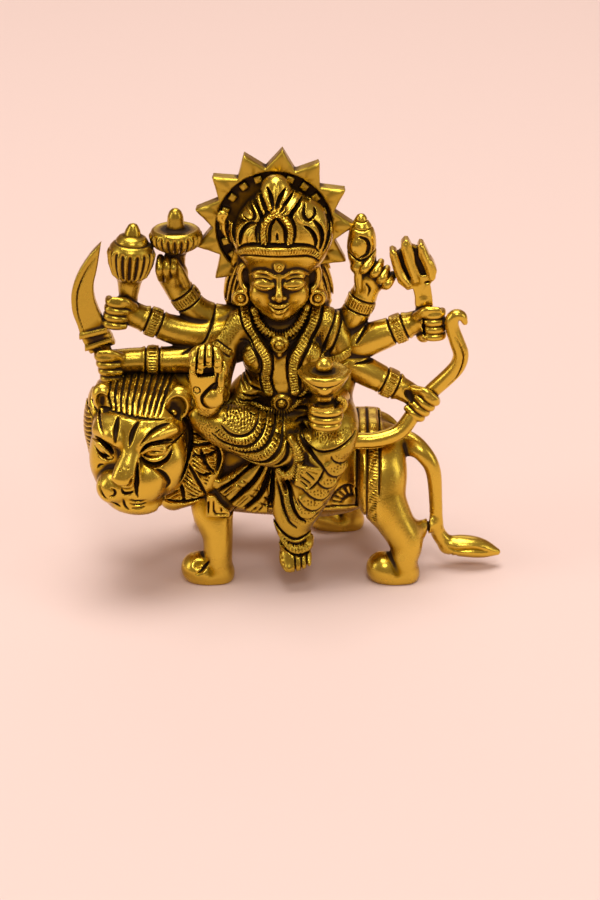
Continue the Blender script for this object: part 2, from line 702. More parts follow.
trunk_line = [(-24, 0, 28.4), (-14, 0, 26), (0, 0, 23.6), (11.5, 0, 23.3), (17.2, 0, 25.4), (20.3, 0, 27.3)]
trunk_girths = [(9.4, 8), (13.4, 10.4), (12.6, 10.7), (12.1, 10.6), (9.9, 10), (8, 8.6)]
limb(lion, trunk_line, trunk_girths, steps=40, caps=(0.6, 0.45), relief=squared)

CLOTH_THICK, CLOTH_HEM, CLOTH_FRONT, CLOTH_REAR = 0.6, 15.4, -14.0, 22.9
where, (x, y, z) = lion.window((CLOTH_FRONT - 2, -20, CLOTH_HEM - 2), (CLOTH_REAR + 2, 20, 46))
edge = np.maximum(np.maximum(CLOTH_FRONT - x, x - CLOTH_REAR), CLOTH_HEM - z)
lion.field[where] = np.minimum(lion.field[where], -melt(CLOTH_THICK - lion.field[where], -edge, 0.5))


def paw(clay, x, y, length):
    """A paw: a heel under the leg, and a rolled toe."""
    line = [(x + 0.4, y, 1.5), (x - 2.6 * length, y, 1.5), (x - 5.6 * length, y, 2.6), (x - 6.8 * length, y, 3)]
    limb(clay, line, [(3.4, 3.8), (3.4, 4.2), (4, 4.3), (3.4, 3.6)], blend=0.9, steps=24)


def paw_facet(clay, x, y, length):
    """The shallow facet that the founder cut on top of a near paw, with a lip below it."""
    mass(clay, (x - 5.2 * length, y - 3.6, 6), (2.2, 1.2, 1.5), (0, -20, 0), blend=0.5, cut=True)
    stroke(clay, [(x - 6.8 * length, 3), (x - 4.6 * length, 4), (x - 2.4 * length, 6)], 0.9, 0.8, y - 7, y + 1)
    stroke(clay, [(x - 7.6 * length, 5.4), (x - 7.0 * length, 7.2), (x - 5.0 * length, 8.4)], 0.5, 0.4, y - 7, y + 3)


fore_girths = [(6.4, 4.6), (5, 4.2), (3.6, 3.8), (3.4, 3.8), (3.4, 3.8)]
far_fore_girths = [(6, 4.6), (4.2, 4.2), (2.7, 3.5), (2.5, 3.5), (2.5, 3.5)]
hind_girths = [(6.6, 4), (6.6, 5), (5.8, 4.8), (4.5, 4.4), (4, 4.1), (3.3, 3.9), (3.3, 3.9)]
far_hind_girths = [(6.4, 4), (6.6, 5), (6.3, 4.8), (4.6, 4.2), (3.3, 3.7), (3.15, 3.7), (3.1, 3.6)]
legs_of_lion = {
    "near fore": ([
        (-15.8, -8.4, 27), (-16.4, -12, 17.6), (-15.3, -13.6, 11), (-15.3, -14.2, 5), (-15.2, -14.2, 2)
    ], fore_girths, 0.78),
    "far fore": (
        [(-15, 8.4, 27), (-15.6, 12, 19), (-16.0, 13.2, 11), (-16.2, 13.4, 5), (-16.4, 13.4, 2)], far_fore_girths, 0.3
    ),
    "near hind": ([
        (21.6, -6, 30), (22.2, -9.6, 25.4), (22.8, -11.6, 20), (25.6, -12.8, 15), (28.5, -13.6, 9.6),
        (28.3, -14.2, 5.6), (28.1, -14.2, 2)
    ], hind_girths, 0.78),
    "far hind": ([
        (21, 6, 28.4), (20.2, 9.4, 24.6), (18.6, 11.2, 19.4), (18.4, 12.4, 14), (17.6, 13.2, 9.6), (16.6, 13.4, 5.6),
        (15.8, 13.4, 2)
    ], far_hind_girths, 1.0),
}
for label, (line, girths, length) in legs_of_lion.items():
    limb(lion, line, girths, blend=2.6, steps=14 * (len(line) - 1), caps=(1, 0.6))
    paw(lion, line[-1][0], line[-1][1], length)
    if label == "near fore":
        paw_facet(lion, line[-1][0], line[-1][1], length)
print("legs:", ", ".join(legs_of_lion))

# %% Tail and tuft
tail_line = [
    (24, 0, 29), (28.7, -4, 30.9), (32.5, -7, 29.1), (34.9, -8, 24.8), (35.7, -8, 16.4), (36.1, -8, 9.8),
    (38.6, -8, 6), (41, -8, 5.4)
]
limb(lion, tail_line, [2.6, 2.4, 2.1, 1.8, 1.55, 1.7, 1.9, 1.8], blend=1.4, steps=56)
tuft_line = [(38.6, -8, 5.5), (42.2, -8, 5.4), (46.4, -8, 4.8), (50.4, -8, 3.8)]
limb(lion, tuft_line, [(2.1, 2), (2.5, 3), (2.3, 2.6), (0.85, 0.9)], blend=0.8, steps=28)
limb(
    lion, [(28.8, -13, 11), (32, -11.2, 11.3), (35.4, -8.4, 11.6)], [(3.4, 2.4), (2.3, 1.7), (1.5, 1.3)], blend=1.6,
    steps=14
)
stroke(lion, [(34, 14.4), (33.9, 11.6), (33.6, 8.8)], 0.9, 1, -13, -5)
limb(
    lion, [(28.4, -5.4, 29.6), (31.2, -7.2, 29.4), (33, -7.8, 27.6)], [(1.6, 1.6), (1.2, 1.4), (0.8, 1)], blend=1.2,
    steps=10
)
mass(lion, (-11.2, -11.4, 29.2), (3.6, 1.7, 2.7), (0, 35, 0), blend=0.6, cut=True)
limb(lion, [(-14.2, -11.2, 31), (-12.2, -11.6, 28.9), (-9.9, -11.8, 27.4)], [0.5, 1.1, 0.5], blend=0.3, steps=10)
plate(
    lion, [(-17.5, 22.6), (-15.7, 22.4), (-14.4, 20.4), (-12.3, 18.4), (-12.3, 17), (-17.7, 17.2)], -16.7, 4, soft=0.4
)
for line in ([(-17, 22), (-17.2, 17.9)], [(-15.9, 21.9), (-15.7, 18.1), (-12.6, 18)], [(-14.4, 19.8), (-14.2, 18.4)]):
    stroke(lion, line, 0.6, 0.7, -20, -8, taper=0.2)
lion.field = np.maximum(lion.field, -(lion.low[2] + lion.voxel * np.arange(lion.field.shape[2])).astype(np.float32))
print("lion's clay:", lion.field.shape)

# %% [markdown]
# The cloth is cut with a line along its hem, three down its rear end with fine ticks between them,
# and a rayed half disc in the corner. The tuft has a groove along it with strokes on either side.

# %% Strokes on the cloth and the tail
stroke(lion, [(-13.6, 16.9), (0, 16.8), (12, 16.8), (17, 17)], 0.9, 0.6, -16, -6, taper=0.05)
stroke(lion, [(17.1, 16.8), (17.1, 30), (17.5, 38)], 0.9, 0.6, -16, 5, taper=0.05)
stroke(lion, [(19.3, 15.6), (19.4, 30), (19.8, 40)], 0.8, 0.6, -16, 5, taper=0.05)
ticks(lion, [(20.7, 15.8), (20.75, 24), (20.9, 32.5)], 2.2, 0.66, 0.5, -18, -2, slant=0.15)
stroke(lion, [(22.1, 15.6), (22.2, 30), (22.6, 42)], 0.8, 0.6, -16, 5, taper=0.05)
sun = (17.0, 17.0)
for radius, width in ((3.5, 1.1), (6.2, 0.8)):
    arc = [(sun[0] - radius * math.cos(a), sun[1] + radius * math.sin(a)) for a in np.radians((4, 30, 60, 88))]
    stroke(lion, arc, width, 0.5, -16, -6, taper=0.2)
arc = [(sun[0] - 4.8 * math.cos(a), sun[1] + 4.8 * math.sin(a)) for a in np.radians((0, 30, 60, 92))]
ticks(lion, arc, 2.4, 1.25, 0.55, -16, -6)
stroke(lion, [(38.6, 6.4), (40.4, 5.6), (44.8, 5.7), (48.6, 4.7)], 1.6, 0.55, -13, -6)
stroke(lion, [(39.4, 3.2), (39.8, 4.4)], 0.5, 0.4, -13, -6)
stroke(lion, [(40.5, 3), (40.7, 4)], 0.5, 0.4, -13, -6)

# %% [markdown]
# ## The lion's head
# The head is turned to the viewer, broad and calm. Its face is smooth, with four slanting grooves
# on the forehead, almond eyes under heavy lids and a wide nose. A fringe of thick locks stands
# between the round ears, and the ruff behind the face is cut with fans of fine strokes. The head is
# a block of its own, with a finer grid, because its strokes are finer than the body's.

# %% Skull, cheeks, nose and muzzle
face = clays["lion_head"] = Clay((-49, -31, 13), (-7, 14, 54), 0.24)
mass(face, (-24.8, -3.2, 33.4), (14.6, 11.6, 16.2), (0, 8, 12), blend=0)
limb(face, [(-26, 1, 30), (-12, 0, 28.6)], [(12, 10), (11, 10)], blend=3, caps=(0.6, 0.5))
mass(face, (-32.7, -13.4, 36), (11, 10.4, 12.2), (0, 0, 10), blend=1.2)
mass(face, (-32.6, -16.6, 40.4), (10.6, 7.4, 6.4), (6, 0, 8), blend=1.5)
mass(face, (-40.6, -16.6, 32.4), (3.6, 5, 6.8), blend=1.5)
mass(face, (-26.8, -18.2, 31.6), (5.4, 5.8, 7.6), (0, 10, 0), blend=1.5)
mass(face, (-34.6, -19.6, 27.4), (7.6, 6.6, 6.6), blend=1.6)
mass(face, (-38.4, -23.2, 28.2), (3.9, 3.9, 4), blend=0.8)
mass(face, (-30.8, -22.6, 29.4), (4.4, 4.2, 5.6), (0, 12, 0), blend=1.0)
mass(face, (-33.4, -21.6, 24), (6, 4.2, 3.2), (0, 6, 0), blend=1.2)
nose_line = [(-33.2, -21.6, 42.5), (-33.9, -23.9, 37.5), (-34.9, -26.2, 33.8), (-35.5, -27.2, 31.8)]
limb(face, nose_line, [(3.2, 1.8), (2.4, 2), (2.9, 2.1), (3, 1.8)], blend=1.0)
mass(face, (-35.5, -27, 32.3), (2.9, 1.9, 1.6), (10, -4, 0), blend=0.5)
brow_lines = {
    "left": [(-35.2, -23.2, 38.6), (-38.6, -22.6, 40.6), (-41.8, -19.4, 40.4)],
    "right": [(-33.2, -23.6, 38.6), (-29.4, -23.6, 40.6), (-24.4, -20.8, 41.2)],
}
for line in brow_lines.values():
    limb(face, line, [(1.2, 1.2), (1.7, 1.6), (1, 1)], blend=1.4)
print("face clay:", face.field.shape)

# %% Eyes, ears and fringe
for centre, halves, turn in (
    ((-40.6, -22.6, 37), (2.6, 1.5, 1.7), (0, 30, 18)), ((-28.7, -24.4, 37.1), (3.6, 1.5, 1.8), (0, -12, -10))
):
    mass(face, centre, halves, turn, blend=0.5, cut=True)
    ball = (centre[0], centre[1] + 1.3, centre[2] + 0.1)
    mass(face, ball, (halves[0] * 0.8, halves[1] * 1.15, halves[2] * 0.72), turn, blend=0.15)
lid_lines = [
    [(-42.9, -20.4, 38.9), (-41.3, -22.4, 38.6), (-39.6, -23.4, 37.2), (-38.3, -23.4, 35.6)],
    [(-42.6, -20.6, 36.4), (-41, -22.2, 35.3), (-39.6, -23, 35), (-38.3, -23.4, 35.4)],
    [(-32, -24, 36.3), (-30.3, -24.6, 38.1), (-27.6, -24, 38.7), (-25, -22.2, 38.4)],
    [(-31.8, -24, 36.1), (-29.5, -24.4, 35.3), (-27, -23.8, 35.8), (-25, -22.2, 37.9)],
]
for line in lid_lines:
    limb(face, line, [0.25, 0.55, 0.55, 0.25], blend=0.5, steps=14)
mane = [
    (-43, -9.6, 31.4), (-43.4, -8.6, 37.6), (-41.8, -7.6, 43.4), (-37.6, -7, 46.2), (-31.6, -6.6, 46.8),
    (-25.4, -7.2, 45.6), (-21.4, -8.6, 40.6)
]
limb(face, mane, [(2, 5), (2.6, 6), (2.9, 6), (2.6, 7), (2.6, 8), (2.8, 7), (3.4, 6)], blend=1.2, steps=36)
for x, y, z, lean, wide in ((-40.5, -15, 46.6, -16, 2.8), (-24, -15.2, 45.2, 20, 3.6)):
    mass(face, (x, y, z), (wide, 2.4, wide + 0.8), (0, lean, 0), blend=0.4)
    mass(face, (x - 0.1, y - 2.3, z - 0.5), (wide - 1.1, 1.5, wide - 0.3), (0, lean, 0), blend=0.25, cut=True)
mass(face, (-24.7, -16.2, 43.4), (0.9, 0.9, 0.9), blend=0.2)
fringe_line = [(-37.8, -14.4, 45.2), (-34.9, -15.6, 45.7), (-31.6, -15.8, 45.6), (-28.2, -15, 44.9)]
limb(face, fringe_line, [(3, 3), (3.1, 3.2), (3.1, 3.2), (3, 3)], blend=0.8, steps=20)
limb(face, [(-38.4, -9, 45.2), (-33, -9.4, 46.2), (-27, -8.6, 45.8)], [(3, 6), (3, 7), (3, 6)], blend=1.5)
ruff_lines = [
    ([
        (-21.4, -9.6, 40.6), (-18.6, -11, 35), (-18.9, -12, 28.6), (-21.2, -12, 23.4), (-25.4, -11.6, 20.6)
    ], [(3.6, 3.8), (4.6, 4.4), (4.8, 4.6), (4.4, 4.4), (3.6, 4.4)]),
    ([(-16.4, -9.4, 37.6), (-15.8, -10.6, 31), (-17.6, -11.6, 24.4)], [(3, 3.2), (3.2, 3.6), (3.2, 3.8)]),
]
for line, girths in ruff_lines:
    limb(face, line, girths, blend=1.4, steps=24)

# %% Strokes on the lion's face
graver = [
    ([(-41.7, 44.6), (-41.1, 42.7), (-40.2, 40.8)], 1.1, 0.8),
    ([(-36.8, 44.9), (-37.4, 42.1), (-37.6, 39.2)], 1.5, 1),
    ([(-31.9, 44.4), (-33.5, 42.1), (-34.4, 38.9)], 1.5, 1),
    ([(-32.1, 39.2), (-29.8, 41.6), (-27.7, 42.5), (-25.3, 42.8)], 1.2, 0.9),
    ([(-42.6, 44.4), (-37.1, 45), (-31, 44.3), (-24.9, 43.4)], 0.7, 0.8),
    ([(-25.4, 38.1), (-23.8, 38.5), (-21.9, 39.4)], 0.8, 0.7),
    ([(-32.1, 36.3), (-30.7, 34.8), (-28.5, 34.2), (-26.3, 35), (-25, 36.6)], 1.7, 1.7),
    ([(-32, 37.4), (-30, 39.4), (-27.5, 39.6), (-25, 38.9)], 1.3, 1.3),
    ([(-29.9, 37.2), (-28.2, 37.5), (-26.2, 37.3)], 0.6, 0.6),
    ([(-42.4, 37.8), (-41.2, 35.7), (-39.5, 34.6), (-38.1, 35.2)], 1.6, 1.6),
    ([(-42.8, 39.3), (-40.8, 39.3), (-38.9, 37.5), (-38, 35.9)], 1.2, 1.3),
    ([(-32.5, 36), (-32.8, 32.5), (-33, 28.3), (-32.6, 26.9)], 1.3, 1.1),
    ([(-29.3, 33.6), (-26.9, 31.8), (-25.8, 29.4), (-26.6, 27.8)], 1.2, 0.9),
    ([(-33.2, 33.2), (-33.9, 32.4), (-34.3, 31.3), (-35.2, 30.9)], 0.8, 0.7),
    ([(-38.2, 31.6), (-37, 30.7), (-35.4, 30.8), (-34.3, 31.4)], 0.7, 0.5),
    ([(-38.8, 29.4), (-37.8, 28.8), (-38, 27.7), (-39.2, 27.4)], 0.8, 0.8),
    ([(-36.4, 29.2), (-35.7, 27.9), (-34.2, 28), (-33.5, 28.8)], 0.8, 0.8),
    ([(-38.8, 25.9), (-37.8, 24.9), (-36.6, 24)], 0.8, 0.6),
    ([(-36, 26.4), (-35.7, 24.5), (-34.6, 23.3)], 0.8, 0.6),
    ([(-42.1, 31.7), (-41.4, 32.7), (-40.4, 33)], 0.7, 0.5),
]
whiskers = [
    [(-34.8, 26.3), (-32.7, 25.8), (-30.8, 26.2)],
    [(-34.8, 25.3), (-32.7, 24.8), (-30.7, 25.4)],
    [(-34.6, 24.2), (-32.8, 23.9), (-30.9, 24.5)],
    [(-41, 28.9), (-40.2, 27.1), (-38.9, 26.2)],
    [(-41.3, 30.7), (-41, 28.3), (-39.4, 26)],
]
for line, width, depth in graver:
    stroke(face, line, width, depth, -31, -11)
for line in whiskers:
    stroke(face, line, 0.6, 0.4, -31, -14)
for x, z in ((-36.4, 34.4), (-35.5, 35.1), (-34.7, 35), (-35.3, 33.8)):
    stroke(face, [(x, z), (x + 0.25, z)], 0.55, 0.5, -31, -22)

# %% Locks of the fringe, and the ruff
for i in range(10):
    low = (-38.6 + 1.2 * i, 44.9 - 0.06 * i)
    high = (-38.9 + 1.62 * i, 50.4 - 0.03 * (i - 5) ** 2)
    stroke(face, [low, ((low[0] + high[0]) / 2 - 0.5, 47.4), high], 0.8, 0.9, -24, 2, taper=0.25)
    if i < 9:
        stroke(face, [
            (low[0] + 0.55, 45.6), ((low[0] + high[0]) / 2 + 0.15, 47.9), (high[0] + 0.8, 50.6)
        ], 0.4, 0.35, -24, 2, taper=0.25)
for line in (
    [(-41.6, 42), (-43.4, 44.6), (-42.6, 47.2)], [(-43, 41), (-44.9, 43.2), (-44.6, 45.4)],
    [(-21.2, 43.6), (-20.4, 46.4), (-22.2, 48.6)]
):
    stroke(face, line, 0.7, 0.6, -18, 2)
ruff_cuts = [
    [(-22.6, 42.2), (-21.3, 39.4), (-21, 36.2), (-21.6, 32.8), (-23.4, 28.4)],
    [(-21.6, 34.9), (-19.5, 34.7), (-14.6, 35.4)],
    [(-18.9, 34.2), (-17.7, 30.4), (-15.6, 27.6)],
    [(-21.6, 30.2), (-19.6, 26.4), (-17.8, 22.4)],
    [(-25, 25.4), (-23.3, 24.4), (-22.8, 20.3)],
    [(-28.1, 22.9), (-27.7, 20.6)],
    [(-27.4, 21.1), (-23.4, 20.7), (-18.2, 21.4)],
    [(-15.5, 35), (-14.6, 31.2), (-15.3, 27.8)],
    [(-20.6, 39.6), (-17.4, 39), (-13.6, 39.6)],
    [(-21.2, 37.4), (-18.2, 36.9), (-14.4, 37.6)],
    [(-20.6, 32.4), (-17.8, 32.2), (-15, 33)],
    [(-20.2, 28.6), (-18.4, 27.6), (-16.2, 28)],
]
for clay in (face, lion):
    for line in ruff_cuts:
        stroke(clay, line, 1.3, 1.3, -24, -5, taper=0.35)
ruff_fans = [
    ([(-21.2, 39.2), (-15.4, 38.6), (-14.8, 35.5), (-21.1, 35)], -6),
    ([(-20.9, 33.9), (-18.9, 33.9), (-16, 28), (-17.6, 24.6), (-20.9, 29.8)], -32),
    ([(-18.3, 34.1), (-15.5, 34.6), (-15.1, 28.6), (-16.2, 28.3)], -24),
    ([(-23.6, 28), (-21.8, 29.2), (-18.3, 22.9), (-21.4, 21.4), (-22.7, 24)], -36),
    ([(-27.4, 22.9), (-25, 24.7), (-23.3, 23.8), (-23.2, 21.2), (-27.2, 21.3)], 30),
    ([(-22.4, 23.4), (-18, 22), (-17.2, 21.7), (-22.6, 21)], -20),
    ([(-20.8, 43.2), (-14.2, 43), (-14.2, 40), (-20.8, 40.2)], -14),
]
for clay in (face, lion):
    for region, direction in ruff_fans:
        hatching(clay, region, direction, 0.82, 0.65, -22, -3)
hatching(face, [(-49, 45.6), (-43.4, 43), (-43.6, 27), (-47.6, 27)], 24, 0.95, 0.5, -16, 4)
print("ruff:", len(ruff_cuts), "cuts and", len(ruff_fans) + 1, "fans of strokes")

# %% [markdown]
# ## The goddess's body
# She sits upright across the lion. One leg is folded on its back and the other hangs down its
# side. Trunk, legs and the upper arms are limbs of clay that melt together. The cloth is drawn on
# them: a fold that lies over the next one is a lap, a step in the surface that fades away behind
# its edge.

# %% Laps of cloth
LAP_GROOVE = 0.3


def lap(clay, points, reach, height, near, far):
    """The edge of a cloth over what is beside it: a step up on one side, a groove on the other."""
    where, gap, along, side, total = drawn(clay, points, reach)
    ends = np.clip(np.minimum(along, total - along) / 0.6, 0, 1)
    raised = np.clip(1 - gap / reach, 0, 1) * np.clip(0.5 + side / 0.3, 0, 1)
    sunk = np.clip(1 - np.abs(side + 0.3) / 0.4, 0, 1) * (gap < 0.8)
    press(clay, where, (LAP_GROOVE * sunk - height * raised) * ends, near, far)


# %% Trunk, neck and shoulders
body = clays["goddess_body"] = Clay((-24, -27, 1), (22, 13, 67), 0.24)
spine = [(2, -1.5, 34), (1, -2.2, 39), (0.4, -3, 43.6), (0.2, -3.4, 51), (0.1, -2.8, 57.6), (-0.3, -2, 61.4)]
limb(body, spine, [(9.4, 8), (9, 7.4), (7.4, 5.6), (9.4, 6.2), (11.4, 5), (6, 4)], blend=0, steps=20)
limb(body, [(-0.5, -1.6, 57), (-0.7, -1.8, 67)], [4.2, 3.9], blend=1.6)
mass(body, (1.5, -1.5, 36.5), (11.4, 9.2, 6.4), blend=1.5)
for x in (-5.2, 5.3):
    mass(body, (x, -7.2, 53.6), (4.1, 4, 4), blend=0.9)
mass(body, (0, -3.6, 45.4), (7, 5.4, 4), blend=1.2)
for line, girths in (
    ([
        (-9.6, -2.8, 59.4), (-13, -3.8, 55.2), (-14.6, -6.6, 50), (-14.8, -9, 47.4)
    ], [(3.9, 3.9), (3.9, 3.9), (3.4, 3.4), (3, 2.9)]),
    ([
        (9.6, -2.8, 59.8), (12.8, -3.2, 54.6), (13.4, -4.6, 47.4), (12.8, -7, 43.8)
    ], [(4.1, 4), (4, 4), (3.5, 3.7), (3, 3.1)]),
):
    limb(body, line, girths, blend=1.2)
print("body clay:", body.field.shape)

# %% The folded leg, the hanging leg and the foot
hip_to_knee = [
    (3, -7, 35), (-3, -11.4, 35.8), (-8.6, -13.8, 38), (-13, -14.8, 39.4), (-16.8, -15.2, 41), (-19.2, -15.4, 42.4)
]
limb(body, hip_to_knee, [(4.6, 5), (5, 5.6), (5.6, 5.4), (5, 5), (3.8, 4.2), (2.4, 2.8)], blend=1.2, steps=30)
knee_to_ankle = [
    (-18.2, -15, 42), (-14.6, -15.6, 40.6), (-11.2, -16, 38.4), (-6.6, -16.6, 35.6), (-2.4, -16.8, 34.2),
    (2.4, -16.6, 34.6), (5, -16.2, 36)
]
limb(body, knee_to_ankle, [
    (2.2, 2.6), (3.5, 3.8), (3.7, 4), (3.8, 4.2), (3.8, 4.2), (3.3, 3.8), (2.6, 3.2)
], blend=1.6, steps=36)
limb(
    body, [(-5.6, -2.6, 47.4), (-8.6, -4, 43.8), (-11, -5, 40.4)], [(2.2, 3), (3.4, 4.2), (3.2, 4.6)], blend=1.4,
    steps=12
)
limb(body, [
    (8, -3, 39), (11, -9, 40.4), (12.2, -14.6, 39), (12.2, -17.6, 36.8)
], [(5.8, 6), (5.6, 5.6), (5.2, 5.2), (4.4, 4.4)], blend=1.5, across=UP)
shin_line = [
    (11.2, -16.4, 39), (10.4, -17, 34.6), (7.9, -17, 28.8), (4.9, -16.6, 21.6), (2.7, -16.4, 16.6), (2.6, -16.6, 13.4)
]
limb(body, shin_line, [
    (4.2, 3.8), (4.9, 4.6), (5.4, 4.8), (5, 4.6), (4.4, 4), (3.9, 3.3)
], blend=1.0, steps=30, caps=(1, 0.5))
limb(body, [
    (-1.2, -15.2, 29.4), (-0.9, -15.8, 24), (-0.3, -16.4, 18), (0.6, -16.6, 13.8)
], [(2, 2.6), (2.2, 2.8), (2.3, 2.8), (2, 2.4)], blend=0.8, steps=18)
foot_line = [(2.6, -16.6, 13), (2.7, -17.8, 10), (2.9, -19.6, 7.8), (3.2, -20.6, 6.6)]
limb(body, foot_line, [(3.3, 2.5), (3.6, 2.4), (3.8, 1.9), (3.3, 1.5)], blend=0.8, steps=18, caps=(1, 0.7))
for x, low, half in ((1.3, 5.6, 1.3), (3.5, 6, 0.84), (4.8, 6.3, 0.78), (5.95, 6.7, 0.7)):
    limb(body, [(x - 0.1, -19.4, low + 2.4), (x, -21.1, low + 0.7)], [half, half * 0.9], blend=0.4)
anklet = [(-0.5, -17.8, 13.2), (0.6, -19.6, 11.4), (3.2, -20.2, 10.6), (5.6, -19.4, 11.2), (6.2, -17.6, 12.4)]
limb(body, anklet, [1, 1.2, 1.2, 1.2, 1], blend=0.3, across=UP)

# %% The skirt's fan of pleats and its hems
fan = [
    (-1.2, 33), (-5.6, 30.6), (-9.2, 29.2), (-11.7, 27.6), (-14.3, 26), (-16.4, 26.4), (-16.7, 24.4), (-14.9, 22.6),
    (-12.4, 20.2), (-11.9, 19.2), (-9.4, 18.2), (-7.6, 17.4), (-3.4, 17.2), (-0.6, 18.6), (1.5, 30)
]
plate(body, fan, -15.4, 5.4, blend=0.8, soft=0.9)
mass(body, (-8, -10.6, 28), (9, 3.4, 7.4), blend=1.0)
plate(
    body, [(3.2, 33.6), (5.8, 32.4), (9.3, 31.9), (8, 28.9), (5.6, 26.6), (2.6, 28)], -22.3, 3.4, blend=0.25, soft=0.35
)
leaf_line = [
    (1.9, -18.2, 38), (3.4, -19, 35.2), (3.6, -19.2, 32.3), (2.4, -19.2, 30), (0.8, -18.8, 29.2), (-0.8, -18.2, 30.2)
]
limb(body, leaf_line, [(1, 1.8), (1.5, 2.2), (1.6, 2.2), (1.5, 2.2), (1.3, 2), (0.8, 1.6)], blend=0.3, steps=24)
print("legs and skirt are on")

# %% [markdown]
# ### Cloth, jewels and hands
# The folds of the folded leg are deep arcs round a stippled oval. The hanging leg is wrapped in
# laps like scales. Two broad garlands run from the neck to the belt, scored across all the way.

# %% Folds of the folded leg
arcs = [
    ([(-14, 41.9), (-12.1, 39.9), (-9.7, 39.1), (-7.3, 39.6), (-5.9, 41), (-5.4, 42.6)], 1, 0.9),
    ([(-16, 39.8), (-13.5, 37.7), (-10.4, 36.8), (-7.5, 37), (-5.2, 38.5), (-4, 40.4), (-3.6, 42)], 0.9, 0.9),
    ([(-10.6, 35.4), (-9.7, 35.3), (-7.7, 35.4), (-5.2, 36), (-3.1, 37.5), (-1.9, 39.4), (-1.6, 41.2)], 1.1, 1),
    ([(-9.4, 33.7), (-6.6, 32.7), (-4, 33.1), (-1.8, 34.8), (-0.4, 36.9), (0, 39.6)], 1.1, 1),
]
for line, width, depth in arcs:
    stroke(body, line, width, depth, -24, -7, taper=0.3)
rolls = [
    [(-15.2, 41), (-12.8, 38.8), (-9.9, 37.9), (-7.2, 38.3), (-5.3, 39.9), (-4.6, 41.6)],
    [(-12, 36.2), (-9.6, 35.9), (-6.8, 36.3), (-4.2, 37.6), (-2.8, 39.6), (-2.5, 41.4)],
    [(-8.6, 34.6), (-6.2, 34), (-3.8, 34.9), (-2.1, 36.5), (-1, 38.8)],
]
for line in rolls:
    stroke(body, line, 1.6, -0.35, -24, -7, taper=0.3)
    ticks(body, line, 1.6, 0.78, 0.75, -24, -7, thin=3)
stroke(body, [(0.8, 37.9), (-0.3, 35.2), (-2.1, 33.5), (-4.2, 32.6)], 1, -0.6, -24, -7)
stroke(body, [(1.3, 37.4), (0.9, 34.6), (-0.7, 32.6), (-2.2, 31.8)], 1.1, 1.2, -24, -7)
ticks(body, [(2.5, 37.4), (3.6, 35.2), (3.8, 32.3), (2.5, 29.9), (0.7, 29.1), (-0.9, 30.2)], 2.6, 0.62, 0.4, -24, -12)
pits(body, [
    (-13, 44.6), (-9, 44.6), (-6.2, 42.6), (-6.6, 40.7), (-8.3, 39.9), (-10.9, 40.1), (-12.6, 41.6), (-13.6, 42.6)
], 0.7, 0.5, 0.5, -24, -8)
pits(body, [
    (-18.9, 45), (-17.1, 44.4), (-15.4, 41), (-13.8, 39.2), (-11.6, 37.4), (-12, 35), (-15.4, 36.8), (-18.2, 39.7),
    (-19.6, 42)
], 0.7, 0.42, 0.36, -24, -8)
for start in (-14.9, -14.4, -13.9, -13.4):
    stroke(
        body, [(start, 45.6 + (start + 14.9) * 0.4), (start + 0.9, 44.3 + (start + 14.9) * 0.4)], 0.36, 0.35, -22, -8
    )
print("folds:", len(arcs), "arcs and", len(rolls), "rolls")

# %% Pleats of the fan
pleat_cuts = [
    [(-4.6, 31.4), (-6, 30.5), (-9.2, 27.9), (-11.7, 25.5), (-15.2, 23.1)],
    [(-3.4, 31), (-4.5, 29.6), (-6.4, 26.3), (-8.7, 23.7), (-12.4, 20)],
    [(-2.6, 30.6), (-3.2, 28), (-4.1, 25), (-5.7, 21.8), (-9.4, 18.2)],
    [(-2.2, 30), (-2.3, 27), (-2.5, 23), (-2.9, 20), (-3, 16.8)],
]
for line in pleat_cuts:
    stroke(body, line, 1.25, 2, -19, -9, taper=0.12)
for line in (
    [(-6.4, 30.2), (-10, 27.8), (-14.6, 25)], [(-5.4, 29.6), (-8.4, 26), (-12.8, 22.4)],
    [(-4.2, 28.2), (-6.8, 23.8), (-10.6, 19.6)], [(-3.2, 26.4), (-4.2, 22.4), (-6, 18.4)]
):
    stroke(body, line, 2.4, -0.55, -19, -9, taper=0.3)
bars = [
    [(-12.5, 27.2), (-11.6, 26)], [(-11.2, 28.2), (-10.3, 27)], [(-10.9, 25.3), (-8.9, 23.6)],
    [(-9.5, 26.3), (-8, 25)],
    [(-8.1, 22.6), (-6.2, 21.2)], [(-6.8, 23.9), (-5.1, 22.8)], [(-5.5, 20.5), (-3.5, 19.3)], [(-4.4, 22), (-3.2, 21)],
    [(-10.6, 24.4), (-13.8, 21.2)], [(-11.3, 24.9), (-13.9, 22.3)], [(-7.8, 21.9), (-10.4, 19.2)],
    [(-8.4, 22.5), (-10.8, 20)],
    [(-5.5, 19.7), (-7.4, 17.6)], [(-4.7, 19.4), (-6.1, 17.4)],
]
for line in bars:
    stroke(body, line, 0.5, 0.5, -19, -9, taper=0.2)
ticks(body, [(-4, 27.2), (-4.7, 25.2), (-6.2, 23.9)], 1.4, 0.6, 0.3, -19, -9, slant=0.4)

